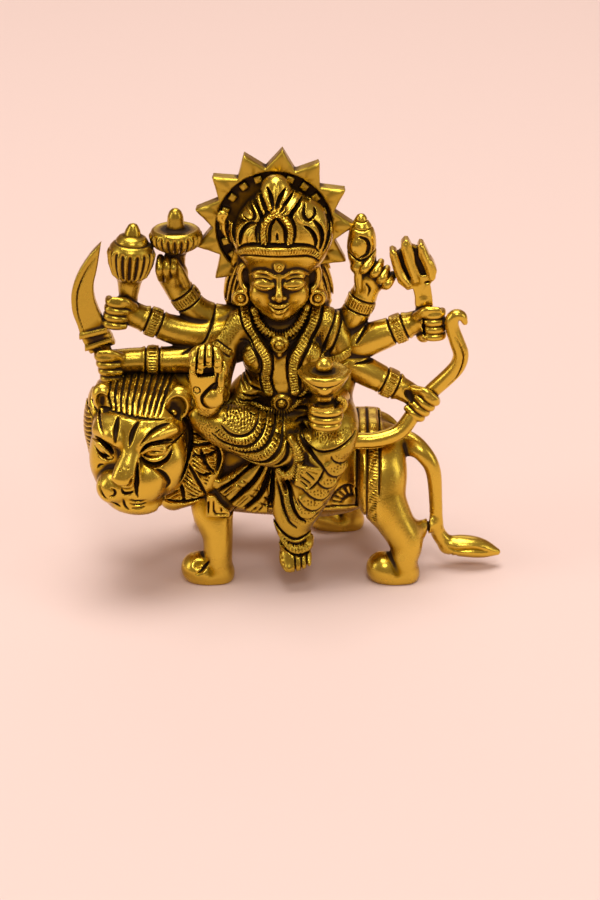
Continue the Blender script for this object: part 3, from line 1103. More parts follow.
# %% Laps of the hanging leg
scales = [
    [(16.4, 39.6), (13.8, 38), (11.1, 36.6), (8.4, 36), (6, 36.7), (4.4, 38.8)],
    [(15.4, 31.2), (14.1, 30), (12.2, 29.7), (10.6, 30.7), (9.1, 33)],
    [(12.7, 28.2), (11.4, 26.9), (9.6, 27.2), (7.7, 29)],
    [(10.8, 24.9), (9, 23.9), (6.6, 25), (4.7, 27)],
    [(9.6, 22.3), (7.4, 21.1), (5.2, 22.1), (3.3, 24.4)],
    [(8, 20.2), (6.4, 18.9), (4.2, 19.4), (2.4, 22)],
]
for line in scales:
    lap(body, line, 2.6, 0.6, -25, -9)
stroke(body, scales[0], 0.9, 0.9, -25, -6, taper=0.25)
stroke(body, [(4, 38), (6.3, 35.3), (9.1, 32.4)], 1.3, 1.2, -25, -8, taper=0.25)
stroke(body, [(9.4, 31.8), (8, 28.8), (5.5, 26.5)], 0.7, 0.6, -25, -12, taper=0.25)
stroke(body, [(10.8, 35.9), (11.2, 34.2), (12.7, 32.9), (14.6, 32.7), (15.6, 33.8)], 0.5, 0.5, -25, -8)
pits(body, [(11.6, 35.9), (14.8, 36.2), (15.2, 34.2), (13.6, 33.5), (12, 34.2)], 0.6, 0.4, 0.28, -25, -8)
pits(body, [
    (7, 39.6), (9.9, 40.4), (12.8, 41), (15.6, 41.4), (15.4, 39.8), (12.8, 38.4), (10.3, 37.6), (7.6, 37.8)
], 0.6, 0.44, 0.34, -25, -8)
for region in (
    [(7.8, 32), (14.4, 33), (14.6, 31), (11.8, 30.4), (9.4, 31.8)],
    [(8.8, 29.6), (12.8, 29.4), (12, 27.4), (9.2, 27.8)],
    [(5.4, 26.4), (10.8, 27), (10.4, 24.8), (7.6, 24.6)],
    [(3.8, 24.4), (8.6, 24), (9, 22.4), (6.4, 21.6)],
    [(3, 22), (7.6, 21.4), (7.4, 20.2), (4.6, 19.8)],
):
    pits(body, region, 0.74, 0.42, 0.36, -25, -8)
for line in ([(3.8, 30.4), (6.4, 28.4)], [(3.9, 29.2), (5.9, 27.3)], [(5.2, 31.4), (7.2, 29.4)]):
    stroke(body, line, 0.55, 0.5, -25, -14, taper=0.2)
hatching(body, [(4.2, 32.8), (8.6, 31.6), (8.2, 30.2), (4.2, 31.4)], -20, 0.7, 0.2, -25, -14)
strands = [
    ([(-2, 29.4), (-1.3, 26.9), (-0.4, 23.8), (0.1, 21.3), (1.4, 17.9), (3.2, 16.2)], 0.8, 0.8),
    ([(0.6, 27.9), (1.7, 25), (2.2, 22.1), (3.7, 19.2), (5.2, 17.8)], 1.2, 1.2),
    ([(1.9, 26.2), (2.8, 23.4), (4, 21.4)], 0.6, 0.5),
]
for line, width, depth in strands:
    stroke(body, line, width, depth, -24, -9, taper=0.25)
stroke(body, [(-0.6, 27.2), (0.3, 24.1), (0.7, 21.5), (2, 19.2), (4.2, 17.4)], 1.6, -0.5, -24, -9, taper=0.3)
ticks(body, [(-0.4, 27.2), (0.4, 24.1), (0.8, 21.5), (2, 19.2), (4.4, 17.3)], 1.2, 0.62, 0.32, -24, -9)
ticks(body, [(3.4, 18.3), (5.2, 17.8), (6.8, 18.6)], 1.6, 0.6, 0.35, -24, -9)
for line, width, depth in (
    ([(-2.6, 18.2), (-1.4, 16), (0.8, 13.9), (3.2, 13), (6.4, 14.2)], 1, 1),
    ([(-1.6, 13.6), (-0.4, 11.8), (1.8, 10), (4.2, 9.4), (6.6, 10.2)], 0.9, 0.9),
):
    stroke(body, line, width, depth, -24, -10, taper=0.2)
ticks(body, [(-0.4, 13.2), (0.8, 11.9), (3.2, 11), (5.8, 11.7)], 1.7, 0.68, 0.45, -24, -12)
for x, top, foot in ((2.75, 9.9, 5), (4.15, 10, 5.6), (5.4, 10, 6)):
    stroke(body, [(x - 0.1, top), (x + 0.1, (top + foot) / 2), (x + 0.15, foot)], 0.6, 0.8, -24, -17, taper=0.2)
for i in range(5):
    stroke(body, [(-0.9 + 0.42 * i, 9.6 - 1.0 * i), (-0.4 + 0.42 * i, 9.3 - 1.0 * i)], 0.45, 0.4, -24, -16, taper=0.2)
print("laps:", len(scales), "strands:", len(strands))

# %% Garlands, necklace, pendants and belt
garlands = [
    [(-8.9, 65.4), (-7.9, 61.2), (-5.7, 57.9), (-3.8, 55), (-3.6, 51.9), (-4, 48.8), (-3.2, 45.4)],
    [(8, 65.8), (7, 62), (5.2, 58.7), (2.9, 55), (2.3, 51.9), (2.4, 48.8), (2.8, 45.6)],
]
for line in garlands:
    band(body, line, 2.4, 1.2, -14, -2)
    ticks(body, line, 2.1, 0.68, 0.6, -14, -2)
for line in (
    [(-10.2, 64.8), (-8.9, 60.6), (-6.7, 57), (-5, 54.2), (-4.8, 51.6), (-5.2, 48.8), (-4.9, 45.8)],
    [(9.4, 65.7), (8.5, 61.5), (6.9, 58.2), (4.7, 54.7), (3.9, 51.8), (3.8, 48.8), (4.1, 46.2)],
    [(-7.5, 64.8), (-6.6, 61.3), (-4.4, 58), (-2.6, 55.2), (-2.3, 52.1), (-2.7, 48.8), (-2.2, 46.4), (-1.4, 45)],
    [(6.3, 65.7), (5.7, 62.4), (3.7, 58.7), (1.4, 54.6), (1, 51.8), (1.2, 48.8), (1.7, 46.4)],
):
    stroke(body, line, 0.7, 0.8, -14, -2, taper=0.15)
collar = [
    (-6.4, -4.4, 63.6), (-5.4, -6.6, 61.3), (-3.3, -7.6, 59.4), (-0.5, -8.2, 58.7), (2.5, -7.6, 59.9),
    (4.5, -6.2, 62.5), (5.4, -4.4, 64.4)
]
limb(body, collar, [1.05] * 7, blend=0.2, across=UP, steps=30)
ticks(body, [(x, z) for x, _, z in collar], 2.4, 0.78, 0.65, -12, -2)
stroke(body, [(-7.4, 63.4), (-6.3, 60.1), (-4.2, 57.8), (-2.2, 56.8)], 0.8, 0.9, -14, -2)
stroke(body, [(0.9, 56.8), (3.3, 58.2), (5.4, 61.1), (6.3, 64.2)], 0.8, 0.9, -14, -2)
plate(body, [(-2.6, 58), (1.2, 58), (-0.3, 54.2), (-1.1, 54.2)], -9.8, 3, soft=0.4)
boss = [(0, -1.2), (2, -1.2), (2.1, -0.2), (1.5, 0.5), (0, 0.6)]
knob = [(0, 0), (0.75, 0), (0.7, 0.9), (0, 1.15)]
for place, wide in (((-0.7, -9.6, 57.2), 1), ((-0.3, -9.2, 42.6), 1.15)):
    turned(body, [(r * wide, h) for r, h in boss], place, (90, 0), blend=0.2)
    turned(body, knob, place, (90, 0), blend=0.05)
    stroke(
        body, ring_of(place[0], place[2], 1.25, np.linspace(0.2, 6.4, 12)), 0.42, 0.5, -14, -5, taper=0.05, steps=30
    )
plate(body, [(-1.7, 53.2), (1, 53.2), (2, 46.6), (-2.2, 46.6)], -8.6, 2.4, blend=0.2, soft=0.25, cut=True)
plate(body, [(-0.9, 52), (0.2, 52), (1.3, 48), (-1.7, 48)], -8.3, 2.4, blend=0.2, soft=0.4)
belt = [
    (-8.6, -6.4, 42.6), (-6, -7.8, 41.4), (-2.6, -9, 40.7), (0.8, -9.2, 40.6), (3.4, -8.6, 42.4), (5.4, -7.2, 45.6)
]
limb(body, belt, [0.85] * 6, blend=0.3, across=UP, steps=24)
ticks(body, [(x, z) for x, _, z in belt], 1.7, 0.6, 0.45, -14, -3)
for line, width in (
    ([(-12.4, 42.2), (-9.4, 41.2), (-6, 40.4), (-2.6, 39.6), (1, 39.6)], 1.2),
    ([(-9.6, 44.6), (-7.2, 43.8), (-4.8, 43.4)], 0.7),
    ([(-7.8, 46.4), (-6, 45.4), (-4.4, 45.2)], 0.7),
    ([(-10.6, 43.4), (-8.2, 42.8), (-5.4, 42.4)], 0.6),
):
    stroke(body, line, width, 0.9, -16, -3)
pits(body, [(-15.8, 60), (-10.4, 63.6), (-9.6, 60.6), (-11.6, 56.4), (-14.8, 56.8)], 0.66, 0.42, 0.32, -13, -2)
pits(body, [
    (9.8, 64.8), (11.6, 63.8), (10, 58.7), (8.2, 54.4), (5.4, 53.6), (7.2, 57.4), (8.8, 60.8)
], 0.62, 0.42, 0.32, -14, -2)
hatching(body, [(-8.8, 57.2), (-6.8, 56.4), (-6, 54.2), (-7.2, 53), (-9.2, 55)], 35, 0.7, 0.28, -14, -3)
stroke(body, [(-9.6, 57.4), (-7.6, 56.9), (-5.7, 54.8), (-5.3, 52.2), (-6.2, 50)], 0.7, 0.7, -14, -3)
for line in (
    [(12.9, 65.4), (11.6, 61.6), (9.9, 57.3), (8.4, 53.6)], [(14.3, 63.8), (13.2, 60.4), (11.6, 56), (9.6, 52.9)]
):
    stroke(body, line, 0.7, 0.7, -12, -1, taper=0.2)
stroke(body, [(13.6, 64.4), (12.4, 61), (10.8, 56.8), (9.2, 53.4)], 1.2, -0.4, -12, -1, taper=0.2)
ticks(body, [(12.9, 62.6), (11.4, 58.4), (9.6, 54.2)], 1.1, 0.6, 0.2, -12, -1)
print("jewels are on")

# %% Sleeves, hems and the lap under the bowl
for line in ([(-16.9, 57.6), (-14.2, 56.7), (-11.6, 55)], [(-17.2, 55.9), (-14.4, 55), (-11.9, 53.4)]):
    stroke(body, line, 0.6, 0.6, -13, -1, taper=0.2)
ticks(body, [(-16.9, 56.7), (-14.3, 55.8), (-11.8, 54.2)], 1.5, 0.7, 0.3, -13, -1)
band(body, [(10, 52.2), (12.8, 53), (16.8, 55)], 1.9, 0.5, -12, 0)
ticks(body, [(10, 52.2), (12.8, 53), (16.8, 55)], 1.8, 0.66, 0.4, -12, 0)
stroke(body, [(10.2, 50.9), (13, 51.6), (16.8, 53.6)], 0.7, 0.8, -12, 0, taper=0.2)
stroke(body, [(16.9, 60.4), (16.2, 56), (15.9, 51), (16, 47.6)], 0.8, 0.9, -10, 2, taper=0.2)
for line in ([(3, 43.4), (6.4, 44.2)], [(2.6, 41.3), (7.2, 41.8)], [(3, 38.9), (7, 39.9), (8.4, 41.2)]):
    stroke(body, line, 0.8, 0.8, -22, -6, taper=0.25)
hatching(body, [(-10.6, 49.6), (-7.6, 49.4), (-6.6, 45.4), (-9.4, 44.8)], -60, 1.1, 0.3, -12, 2)

# %% [markdown]
# ## Her head
# The face is calm and plain, in the proportions that drawing books give: the eyes halfway down the
# head, the nose and the mouth at the thirds below them. Her eyes are half closed under heavy lids.
# The block is cut fine, because a face is made of small turns of the surface.

# %% Skull, cheeks and chin
head = clays["head_and_crown"] = Clay((-18, -17, 46), (16, 9, 98), 0.2)
FX, FY = -0.8, -2.6  # the middle line of the face, and the depth of the head's middle
EYES, BROWS, MOUTH, CHIN = 72.0, 73.9, 66.4, 63.2  # heights


def both(x, y, z):
    """A place on either side of the face."""
    return [(FX + side * x, FY + y, z) for side in (-1, 1)]


skull_line = [(FX, FY, 79.4), (FX, FY - 0.2, 75.2), (FX, FY - 0.8, 70.4), (FX, FY - 2, 66.2), (FX, FY - 3.2, 64.2)]
limb(head, skull_line, [(6.4, 6), (7.3, 6.9), (7, 6.4), (5.2, 4.8), (2.6, 2.4)], blend=0, steps=20)
limb(head, [(-0.7, -1.6, 59), (-0.8, -2, 66)], [4.1, 4.1], blend=1.4)
for place in both(3.7, -4.4, 68.4):
    mass(head, place, (2.9, 2.2, 2.9), blend=1.6)
mass(head, (FX, FY - 5, CHIN + 1.2), (2.3, 1.8, 1.7), blend=1.2)
mass(head, (FX, FY - 4.6, 66.8), (3, 2.2, 2.2), blend=1.4)
mass(head, (FX, FY - 4.9, 76), (5, 2.2, 2.6), blend=1.6)
print("head clay:", head.field.shape)

# %% Eyes, nose and mouth
for side, (x, y, z) in zip((-1, 1), both(3.35, -7.0, EYES)):
    mass(head, (x, y + 0.6, z + 1.5), (2.6, 1.3, 1.2), (0, 0, side * 14), blend=1.0)
    mass(head, (x, y + 0.2, z), (2.65, 1.6, 1.6), (0, 0, side * 14), blend=0.2)
    inner, outer = FX + side * 1.2, FX + side * 5.9
    upper = [
        (inner, FY - 7, z - 0.35), (FX + side * 2.4, FY - 7.75, z + 0.55), (FX + side * 3.8, FY - 7.5, z + 0.85),
        (outer, FY - 5.9, z + 0.1)
    ]
    lower = [
        (inner + side * 0.1, FY - 7, z - 0.45), (FX + side * 2.6, FY - 7.35, z - 1.05),
        (FX + side * 4, FY - 7.05, z - 1), (outer, FY - 5.9, z)
    ]
    limb(head, upper, [(0.2, 0.2), (0.42, 0.5), (0.42, 0.5), (0.2, 0.2)], blend=0.2, steps=18)
    limb(head, lower, [(0.16, 0.2), (0.3, 0.34), (0.3, 0.34), (0.16, 0.2)], blend=0.2, steps=18)
    stroke(head, [
        (inner + side * 0.2, z - 0.3), (FX + side * 2.9, z - 0.45), (FX + side * 4.2, z - 0.4),
        (outer - side * 0.3, z + 0.1)
    ], 0.42, 0.5, -13, -7)
    stroke(head, [
        (inner, z + 0.35), (FX + side * 2.5, z + 1.35), (FX + side * 4, z + 1.6), (outer + side * 0.3, z + 0.8)
    ], 0.42, 0.36, -13, -6)
    brow = [
        (FX + side * 1, FY - 7.5, BROWS + 0.1), (FX + side * 2.8, FY - 7.5, BROWS + 1.1),
        (FX + side * 4.8, FY - 6.6, BROWS + 0.9), (FX + side * 6.6, FY - 4.8, BROWS - 0.5)
    ]
    limb(head, brow, [(0.3, 0.35), (0.42, 0.45), (0.4, 0.42), (0.22, 0.25)], blend=0.35, steps=18)
nose_line = [(FX, FY - 7.1, 74), (FX, FY - 7.7, 71.6), (FX, FY - 8.6, 69.7), (FX, FY - 8.7, 69)]
limb(head, nose_line, [(0.62, 0.7), (0.62, 0.85), (0.95, 1), (0.8, 0.75)], blend=0.8, steps=16)
for place in both(1.05, -7.5, 68.9):
    mass(head, place, (0.75, 0.9, 0.62), blend=0.35)
for place in both(0.55, -8.6, 68.2):
    mass(head, place, (0.34, 0.5, 0.26), blend=0.15, cut=True)
lips = [
    ([
        (FX - 2.5, FY - 6.4, MOUTH + 0.6), (FX - 0.9, FY - 7.6, MOUTH + 0.55), (FX, FY - 7.7, MOUTH + 0.35),
        (FX + 0.9, FY - 7.6, MOUTH + 0.55), (FX + 2.5, FY - 6.4, MOUTH + 0.6)
    ], (0.22, 0.62, 0.58, 0.62, 0.22)),
    ([
        (FX - 2.1, FY - 6.4, MOUTH + 0.25), (FX - 1, FY - 7.3, MOUTH - 0.55), (FX, FY - 7.7, MOUTH - 0.75),
        (FX + 1, FY - 7.3, MOUTH - 0.55), (FX + 2.1, FY - 6.4, MOUTH + 0.25)
    ], (0.22, 0.66, 0.74, 0.66, 0.22)),
]
for line, girths in lips:
    limb(head, line, girths, blend=0.3, across=UP, steps=20)
stroke(head, [
    (FX - 2.8, MOUTH + 0.85), (FX - 1.3, MOUTH + 0.08), (FX, MOUTH - 0.1), (FX + 1.3, MOUTH + 0.08),
    (FX + 2.8, MOUTH + 0.85)
], 0.42, 0.55, -13, -7)
stroke(head, [(FX - 1.1, MOUTH - 1.5), (FX, MOUTH - 1.7), (FX + 1.1, MOUTH - 1.5)], 0.7, 0.35, -13, -6)
turned(head, [(0, -0.8), (1, -0.8), (1, 0.15), (0.75, 0.4), (0, 0.4)], (FX, FY - 7.6, 76.2), (83, 0), blend=0.15)
ring = [(FX + 0.55 * math.cos(a), 76.2 + 0.5 * math.sin(a)) for a in np.linspace(0, 6.3, 10)]
stroke(head, ring, 0.4, 0.4, -13, -8, taper=0.02, steps=24)
print("face is modelled")

# %% Ears, rings and hair
for side in (-1, 1):
    rim = [
        (FX + side * 6.9, FY - 1.8, 74.6), (FX + side * 8.2, FY - 1.6, 74.4), (FX + side * 8.9, FY - 1.2, 72.4),
        (FX + side * 8.5, FY - 1.4, 70.2), (FX + side * 7.4, FY - 2.2, 68.8)
    ]
    limb(head, rim, [(0.6, 0.9), (0.85, 1.1), (0.85, 1.1), (0.8, 1), (0.7, 0.9)], blend=0.3, steps=20)
    mass(head, (FX + side * 7.4, FY - 0.6, 72), (1.4, 1.4, 2.6), blend=0.4)
    place = (FX + side * 8.7, FY - 2.6, 66.9)
    turned(
        head, [(0, -1.6), (1.75, -1.6), (1.95, -0.6), (1.75, 0.2), (1.1, 0.35), (0, 0.35)], place, (90, 0), blend=0.2
    )
    turned(head, [(0, 0.1), (0.62, 0.1), (0.6, 0.7), (0, 0.95)], place, (90, 0), blend=0.05)
    stroke(head, ring_of(place[0], place[2], 1.1, np.linspace(0.2, 6.5, 12)), 0.5, 0.5, -9, -4, taper=0.02, steps=30)


STRANDS = 26  # round the whole lock of hair


def combed(t, angle):
    """Combed strands, which wave a little on their way down."""
    return 0.16 * np.cos(STRANDS * angle + 1.5 * np.sin(6 * t)) * np.clip(1.4 - 1.2 * np.sin(-angle), 0, 1)


hair_line = [(-1.2, 1.2, 80), (-1.2, 1.2, 74), (-1, 1.8, 66), (-0.8, 2.8, 58), (-0.6, 3.4, 50)]
limb(head, hair_line, [(9.5, 3.6), (11.4, 4.2), (12.6, 4.4), (10, 3.2), (5.4, 2)], blend=0.5, steps=24, relief=combed)
hatching(head, [
    (-14.6, 63.6), (-13.4, 70.4), (-10.4, 74.4), (-9.6, 70), (-11, 66), (-10.6, 63.6)
], 78, 0.95, 0.5, -5, 4, bow=0.02)
hatching(head, [
    (13.8, 63.6), (11.8, 70), (9.6, 74.4), (8.6, 70), (10.2, 66), (10.6, 63.6)
], 102, 0.95, 0.5, -5, 4, bow=-0.02)
print("hair is combed")

# %% [markdown]
# ## The crown
# A band holds the crown on the brow. Above it a twisted rope makes a loop round a leaf, scrolls
# and long leaves curl away to the sides, and a fan of five lobes stands at the top. The body of
# the crown is one limb that widens and narrows; the rest is drawn on its front.

# %% The body of the crown
rise = [
    (-1, -3.2, 76.6), (-0.4, -3.4, 79.4), (-0.2, -3.6, 82.4), (-0.6, -3.7, 85.2), (-1, -3.8, 87.6), (-1.4, -4, 90.2),
    (-1.5, -4.2, 92.6)
]
limb(head, rise, [
    (8.4, 6.6), (10.7, 7.2), (11.5, 7), (9.7, 6.3), (6.4, 5.2), (4.2, 4.4), (3.3, 3.3)
], blend=0.6, steps=36)
brow_band = [
    (-10, -3.4, 77.9), (-8.6, -7.4, 79.4), (-6.2, -9.8, 80.2), (-0.9, -11.2, 80.4), (4.4, -9.8, 80.2),
    (6.8, -7.4, 79.3), (8.2, -3.4, 77.7)
]
limb(head, brow_band, [1.1] * 7, blend=0.15, across=UP, steps=30)
flat_band = [(x, z) for x, _, z in brow_band]
ticks(head, flat_band, 1.4, 0.64, 0.45, -15, -5)
for lift, depth in ((1.35, 0.9), (-1.35, 0.8)):
    stroke(head, [(x, z + lift) for x, z in flat_band], 0.85, depth, -15, -5, taper=0.2)
curl_line = [(-12.9, -3.4, 84.6), (-14, -3.6, 85.4), (-13.7, -3.8, 86.6), (-12.7, -3.8, 86.4), (-12.8, -3.8, 85.6)]
limb(head, curl_line, [0.8, 0.8, 0.75, 0.7, 0.6], blend=0.2, steps=16)
limb(head, [
    (-9.8, -3.2, 79.6), (-11.6, -3, 81), (-12.9, -3, 82.6), (-13.2, -3.2, 84.8)
], [(1, 1.2), (1, 1.1), (0.9, 1), (0.75, 0.9)], blend=0.5)
mass(head, (-8.2, -1.4, 83.6), (2.4, 2, 3.2), blend=0.4)

# %% Rope, leaf, scrolls and fan
ropes = [
    [(-2.6, 89.5), (-0.8, 88.7), (1, 87.2), (1.9, 84.9), (1.6, 82.2)],
    [(0, 89.6), (-2.1, 88.3), (-3.7, 86.9), (-4.4, 84.9), (-4.1, 82.2)],
]
for line, slant in zip(ropes, (0.7, -0.7)):
    band(head, line, 1.7, 1.1, -16, -4)
    ticks(head, line, 1.6, 0.78, 0.65, -16, -4, slant=slant, thin=3)
for line in (
    [(-1.5, 87.6), (-2.7, 85.4), (-2.9, 82.2)],
    [(-1.3, 87.6), (0.5, 85.2), (0.7, 82.2)],
    [(-2.2, 89.6), (-4.5, 87.2), (-5.2, 84.9), (-5, 82.2)],
    [(0.1, 88.6), (2.2, 87), (2.8, 84.6), (2.4, 82.2)],
):
    stroke(head, line, 0.85, 1.1, -16, -4, taper=0.2)
stroke(head, [(-1.2, 84.4), (-1.1, 82.5)], 0.7, 0.8, -16, -4)
fan_cuts = [
    [(-5.3, 92.6), (-4.3, 90.6), (-3.5, 88.6)],
    [(-3.3, 93.8), (-2.5, 92), (-2, 89.6)],
    [(0.7, 93.5), (-0.5, 91.9), (-1.5, 89.5)],
    [(2.4, 92.1), (0.7, 90.6), (-0.6, 89)],
    [(-6.6, 90.1), (-4.9, 88.4), (-4.3, 86)],
    [(4, 90), (2.3, 88.8), (1.7, 87)],
]
CROWN_RELIEF = 1.6
for line in fan_cuts:
    stroke(head, line, 1.1, 0.95 * CROWN_RELIEF, -14, -1, taper=0.35)
for line in (
    [(-4.6, 93.2), (-3.2, 91), (-2.6, 89)], [(-1.3, 94.8), (-1.5, 92.2), (-1.6, 89.8)],
    [(1.8, 93.2), (0.2, 91), (-0.8, 89.2)], [(3.4, 91.2), (1.4, 89.2), (0.4, 88)],
    [(-5.8, 91.6), (-4.6, 89.6), (-3.8, 87.6)]
):
    stroke(head, line, 1.5, -0.45, -14, -1, taper=0.4)
scrolls = [
    ([(-9.4, 86.4), (-9.7, 87.7), (-8.5, 89.3), (-6.8, 88.8), (-6.1, 87.4), (-7.2, 86.3), (-8.8, 86.9)], 0.75, 0.75),
    ([(-5.3, 86.3), (-7.5, 85.5), (-9, 83.8), (-9.6, 80.6)], 0.95, 0.9),
    ([(-7.4, 86.1), (-9.9, 85.5), (-10.9, 83.5), (-10.6, 80.6)], 0.9, 0.85),
    ([(-4.9, 87.6), (-5.6, 89.8), (-7.6, 91)], 0.7, 0.7),
    ([(-5.3, 86.4), (-5.8, 84.3), (-5.6, 82)], 0.7, 0.7),
    ([(-11.2, 87.2), (-12.4, 85.2), (-12.5, 82.6), (-11.9, 79.6)], 0.8, 0.7),
    ([(5, 90), (4.7, 88), (5.8, 86.7), (7.2, 87.6), (7, 89)], 0.8, 0.8),
    ([(1.9, 87), (2.5, 89), (4.3, 90.7), (6, 90.1)], 0.75, 0.7),
    ([(4.8, 85.7), (6.5, 84.4), (7.4, 82.3), (7.3, 80.5)], 0.95, 0.9),
    ([(6.8, 86.8), (8.4, 84.6), (8.9, 82.3), (8.3, 79.6)], 0.9, 0.85),
    ([(9.5, 87.2), (10.4, 84.4), (10.1, 81.3), (9.1, 78.8)], 0.8, 0.7),
]
for line, width, depth in scrolls:
    stroke(head, line, width * 1.15, depth * CROWN_RELIEF, -15, 0, taper=0.35)
for line in (
    [(-8, 88.9), (-7.2, 88.3), (-6.9, 87.6)], [(-8.2, 85.4), (-9.8, 84), (-10.2, 81.6)],
    [(-6.6, 84.6), (-7.4, 82.9), (-7.6, 81.4)],
    [(3.4, 89.4), (3.6, 87.6), (4.4, 86.4)], [(6, 85.6), (7.6, 84), (8.1, 81.8)],
    [(8.6, 86.4), (9.6, 84), (9.5, 81.2)],
    [(-10.9, 86.4), (-11.6, 84.6), (-11.4, 81.4)],
):
    stroke(head, line, 1.3, -0.4, -15, 0, taper=0.4)
print("crown:", len(fan_cuts), "cuts of the fan,", len(scrolls), "scrolls")

# %% [markdown]
# ## The halo
# Behind the head stands a thick disc with thirteen pointed rays. Its middle is sunk, and a ring of
# small square blocks sits in the sunk part, black with patina. The front of every ray is filed
# with a ridge down its middle. A star is a flat outline, so it is made as a plate.

# %% Star, sunk middle and blocks
halo = clays["halo"] = Clay((-23, -4, 62), (20, 7, 103), 0.25)
HALO_MIDDLE, HALO_FRONT, HALO_THICK = (-1.9, 82.3), -1.0, 4.0
RAYS, VALLEY, TIP, TOP_RAY = 13, 14.0, 18.2, 84.0  # a count, two radii, and degrees
SUNK, BLOCKS, BLOCK_RING, BLOCK_HALF = 13.0, 15, 11.6, 0.85  # a radius, a count, a radius, half a side


def on_halo(radius, angle):
    """A place on the halo, in X and Z."""
    return HALO_MIDDLE[0] + radius * math.cos(angle), HALO_MIDDLE[1] + radius * math.sin(angle)


star = []
for i in range(2 * RAYS):
    angle = math.radians(TOP_RAY) + math.pi * i / RAYS
    radius = VALLEY if i % 2 else TIP
    star.append(on_halo(radius, angle))
plate(halo, star, HALO_FRONT, HALO_THICK, blend=0, soft=0.6)
sunk_floor = (HALO_MIDDLE[0], HALO_FRONT + 1.8, HALO_MIDDLE[1])
turned(halo, [(0, 0), (SUNK, 0), (SUNK, 3.4), (0, 3.4)], sunk_floor, (90, 0), blend=0.15, cut=True)
for i in range(BLOCKS):
    angle = math.radians(-36 + 252 * i / (BLOCKS - 1))
    x, z = on_halo(BLOCK_RING, angle)
    turn = np.array([math.cos(angle), math.sin(angle)]), np.array([-math.sin(angle), math.cos(angle)])
    corners = [(x, z) + BLOCK_HALF * (a * turn[0] + b * turn[1]) for a, b in ((1, 1), (-1, 1), (-1, -1), (1, -1))]
    plate(halo, corners, HALO_FRONT + 0.5, 1.8, blend=0.1, soft=0.25)
mass(halo, (-1.5, 1.6, 80), (9, 2.6, 11), blend=0.5)
for i in range(RAYS):
    angle = math.radians(TOP_RAY) + 2 * math.pi * i / RAYS
    ridge = [on_halo(VALLEY - 0.4, angle), on_halo(TIP - 0.3, angle)]
    stroke(halo, ridge, 3.2, -0.35, -4, 1.2, taper=0.3, steps=3)
print("halo:", RAYS, "rays")

# %% [markdown]
# ## The two front hands
# One hand is raised with its palm out: its fingers are folded over a dark hollow, a ring is
# punched into the palm, and the ball of the thumb stands out like a cushion. The other hand holds
# a shallow dish with a fruit in it. Both blocks are small, so they have the finest grid.

# %% The raised hand
palm = clays["raised_hand"] = Clay((-24, -26, 41.5), (-9, -11, 65), 0.17)
limb(
    palm, [(-15, -11.6, 46), (-16.6, -16.2, 45.2), (-17, -19, 47)], [(2.9, 2.9), (2.7, 2.8), (2.8, 2.6)], blend=0,
    across=UP, steps=12
)
palm_line = [
    (-16.9, -19.2, 46.6), (-16.9, -20.2, 50), (-16.8, -20.6, 54.4), (-16.7, -20.4, 58.6), (-16.7, -20.8, 60.6)
]
limb(palm, palm_line, [(2.7, 2.2), (3.7, 2.1), (4.1, 1.9), (3.7, 1.7), (2.7, 1.4)], blend=0.8, steps=20)
fingers = {  # middle of each finger from the left, its width, its top, and the end of its folded tip
    "little": (-19.6, 1.05, 60.2, 55.9),
    "ring": (-17.95, 1.08, 61.3, 56.1),
    "middle": (-16.2, 1.1, 61.7, 57.6),
    "first": (-14.4, 1.15, 61.0, 56.3),
}
mass(palm, (-17, -21.6, 59.4), (3.9, 1.7, 3), blend=0.4)
mass(palm, (-16.9, -22, 60.2), (3.6, 1.6, 1.9), blend=0.4)
for x, half, top, tip in fingers.values():
    fold = [
        (x * 0.6 - 6.64, -20.6, top - 1.6), (x * 0.8 - 3.32, -21.8, top - 0.2), (x, -23.2, top - 1.4),
        (x, -23.3, (top + tip) / 2), (x, -23, tip + 0.6)
    ]
    limb(palm, fold, [
        (half * 1.05, 1.1), (half, 1.05), (half, 0.95), (half * 0.93, 0.9), (half * 0.9, 0.85)
    ], blend=0.25, steps=20)
mass(palm, (-15.4, -22.6, 49.7), (2.4, 1.5, 2.3), blend=0.35)
thumb = [(-14.3, -22.8, 50.6), (-13.7, -23, 52.6), (-13.55, -22.8, 54.6), (-13.5, -22.4, 56.2)]
limb(palm, thumb, [(1.2, 1.1), (0.85, 1), (0.8, 0.95), (0.6, 0.7)], blend=0.4, steps=15)
mass(palm, (-12.9, -21.4, 55.6), (0.9, 1.3, 2.6), blend=0.5)
print("palm clay:", palm.field.shape)

# %% Strokes on the raised hand
for x, cuts in ((-19.95, (58.5, 56.8, 55.7)), (-18.2, (58.8, 57.3)), (-16.35, (59, 58.2)), (-14.5, (59.4, 57.9))):
    for z in cuts:
        stroke(palm, [(x - 0.85, z + 0.05), (x, z - 0.12), (x + 0.85, z + 0.05)], 0.34, 0.42, -26, -21, taper=0.2)
for line in ([
    (-18.6, 61.8), (-18.9, 59.6), (-19.1, 57.5), (-19.3, 55.2)
], [(-17, 62.6), (-17.15, 60), (-17.25, 57.8)], [(-15.4, 62.2), (-15.3, 60.2), (-15.35, 57.6)]):
    stroke(palm, line, 0.55, 0.8, -26, -18.6, taper=0.2)
plate(palm, [
    (-17.5, 57.4), (-15.2, 57.4), (-15.1, 55), (-18.9, 54.7), (-19.2, 55.6), (-18.8, 55.9), (-17.6, 55.9)
], -24, 3.6, blend=0.2, soft=0.2, cut=True)
stroke(palm, ring_of(-19.15, 51.4, 0.78, np.linspace(0, 6.3, 12)), 0.36, 0.45, -25, -18, taper=0.02, steps=30)
pad = [
    (-14.6, 53.4), (-15.7, 52.7), (-17, 51.3), (-18, 49.8), (-17.8, 48.1), (-16.6, 47.2), (-15, 47.3), (-13.9, 48.2)
]
stroke(palm, pad, 0.8, 0.9, -25, -18, taper=0.25)
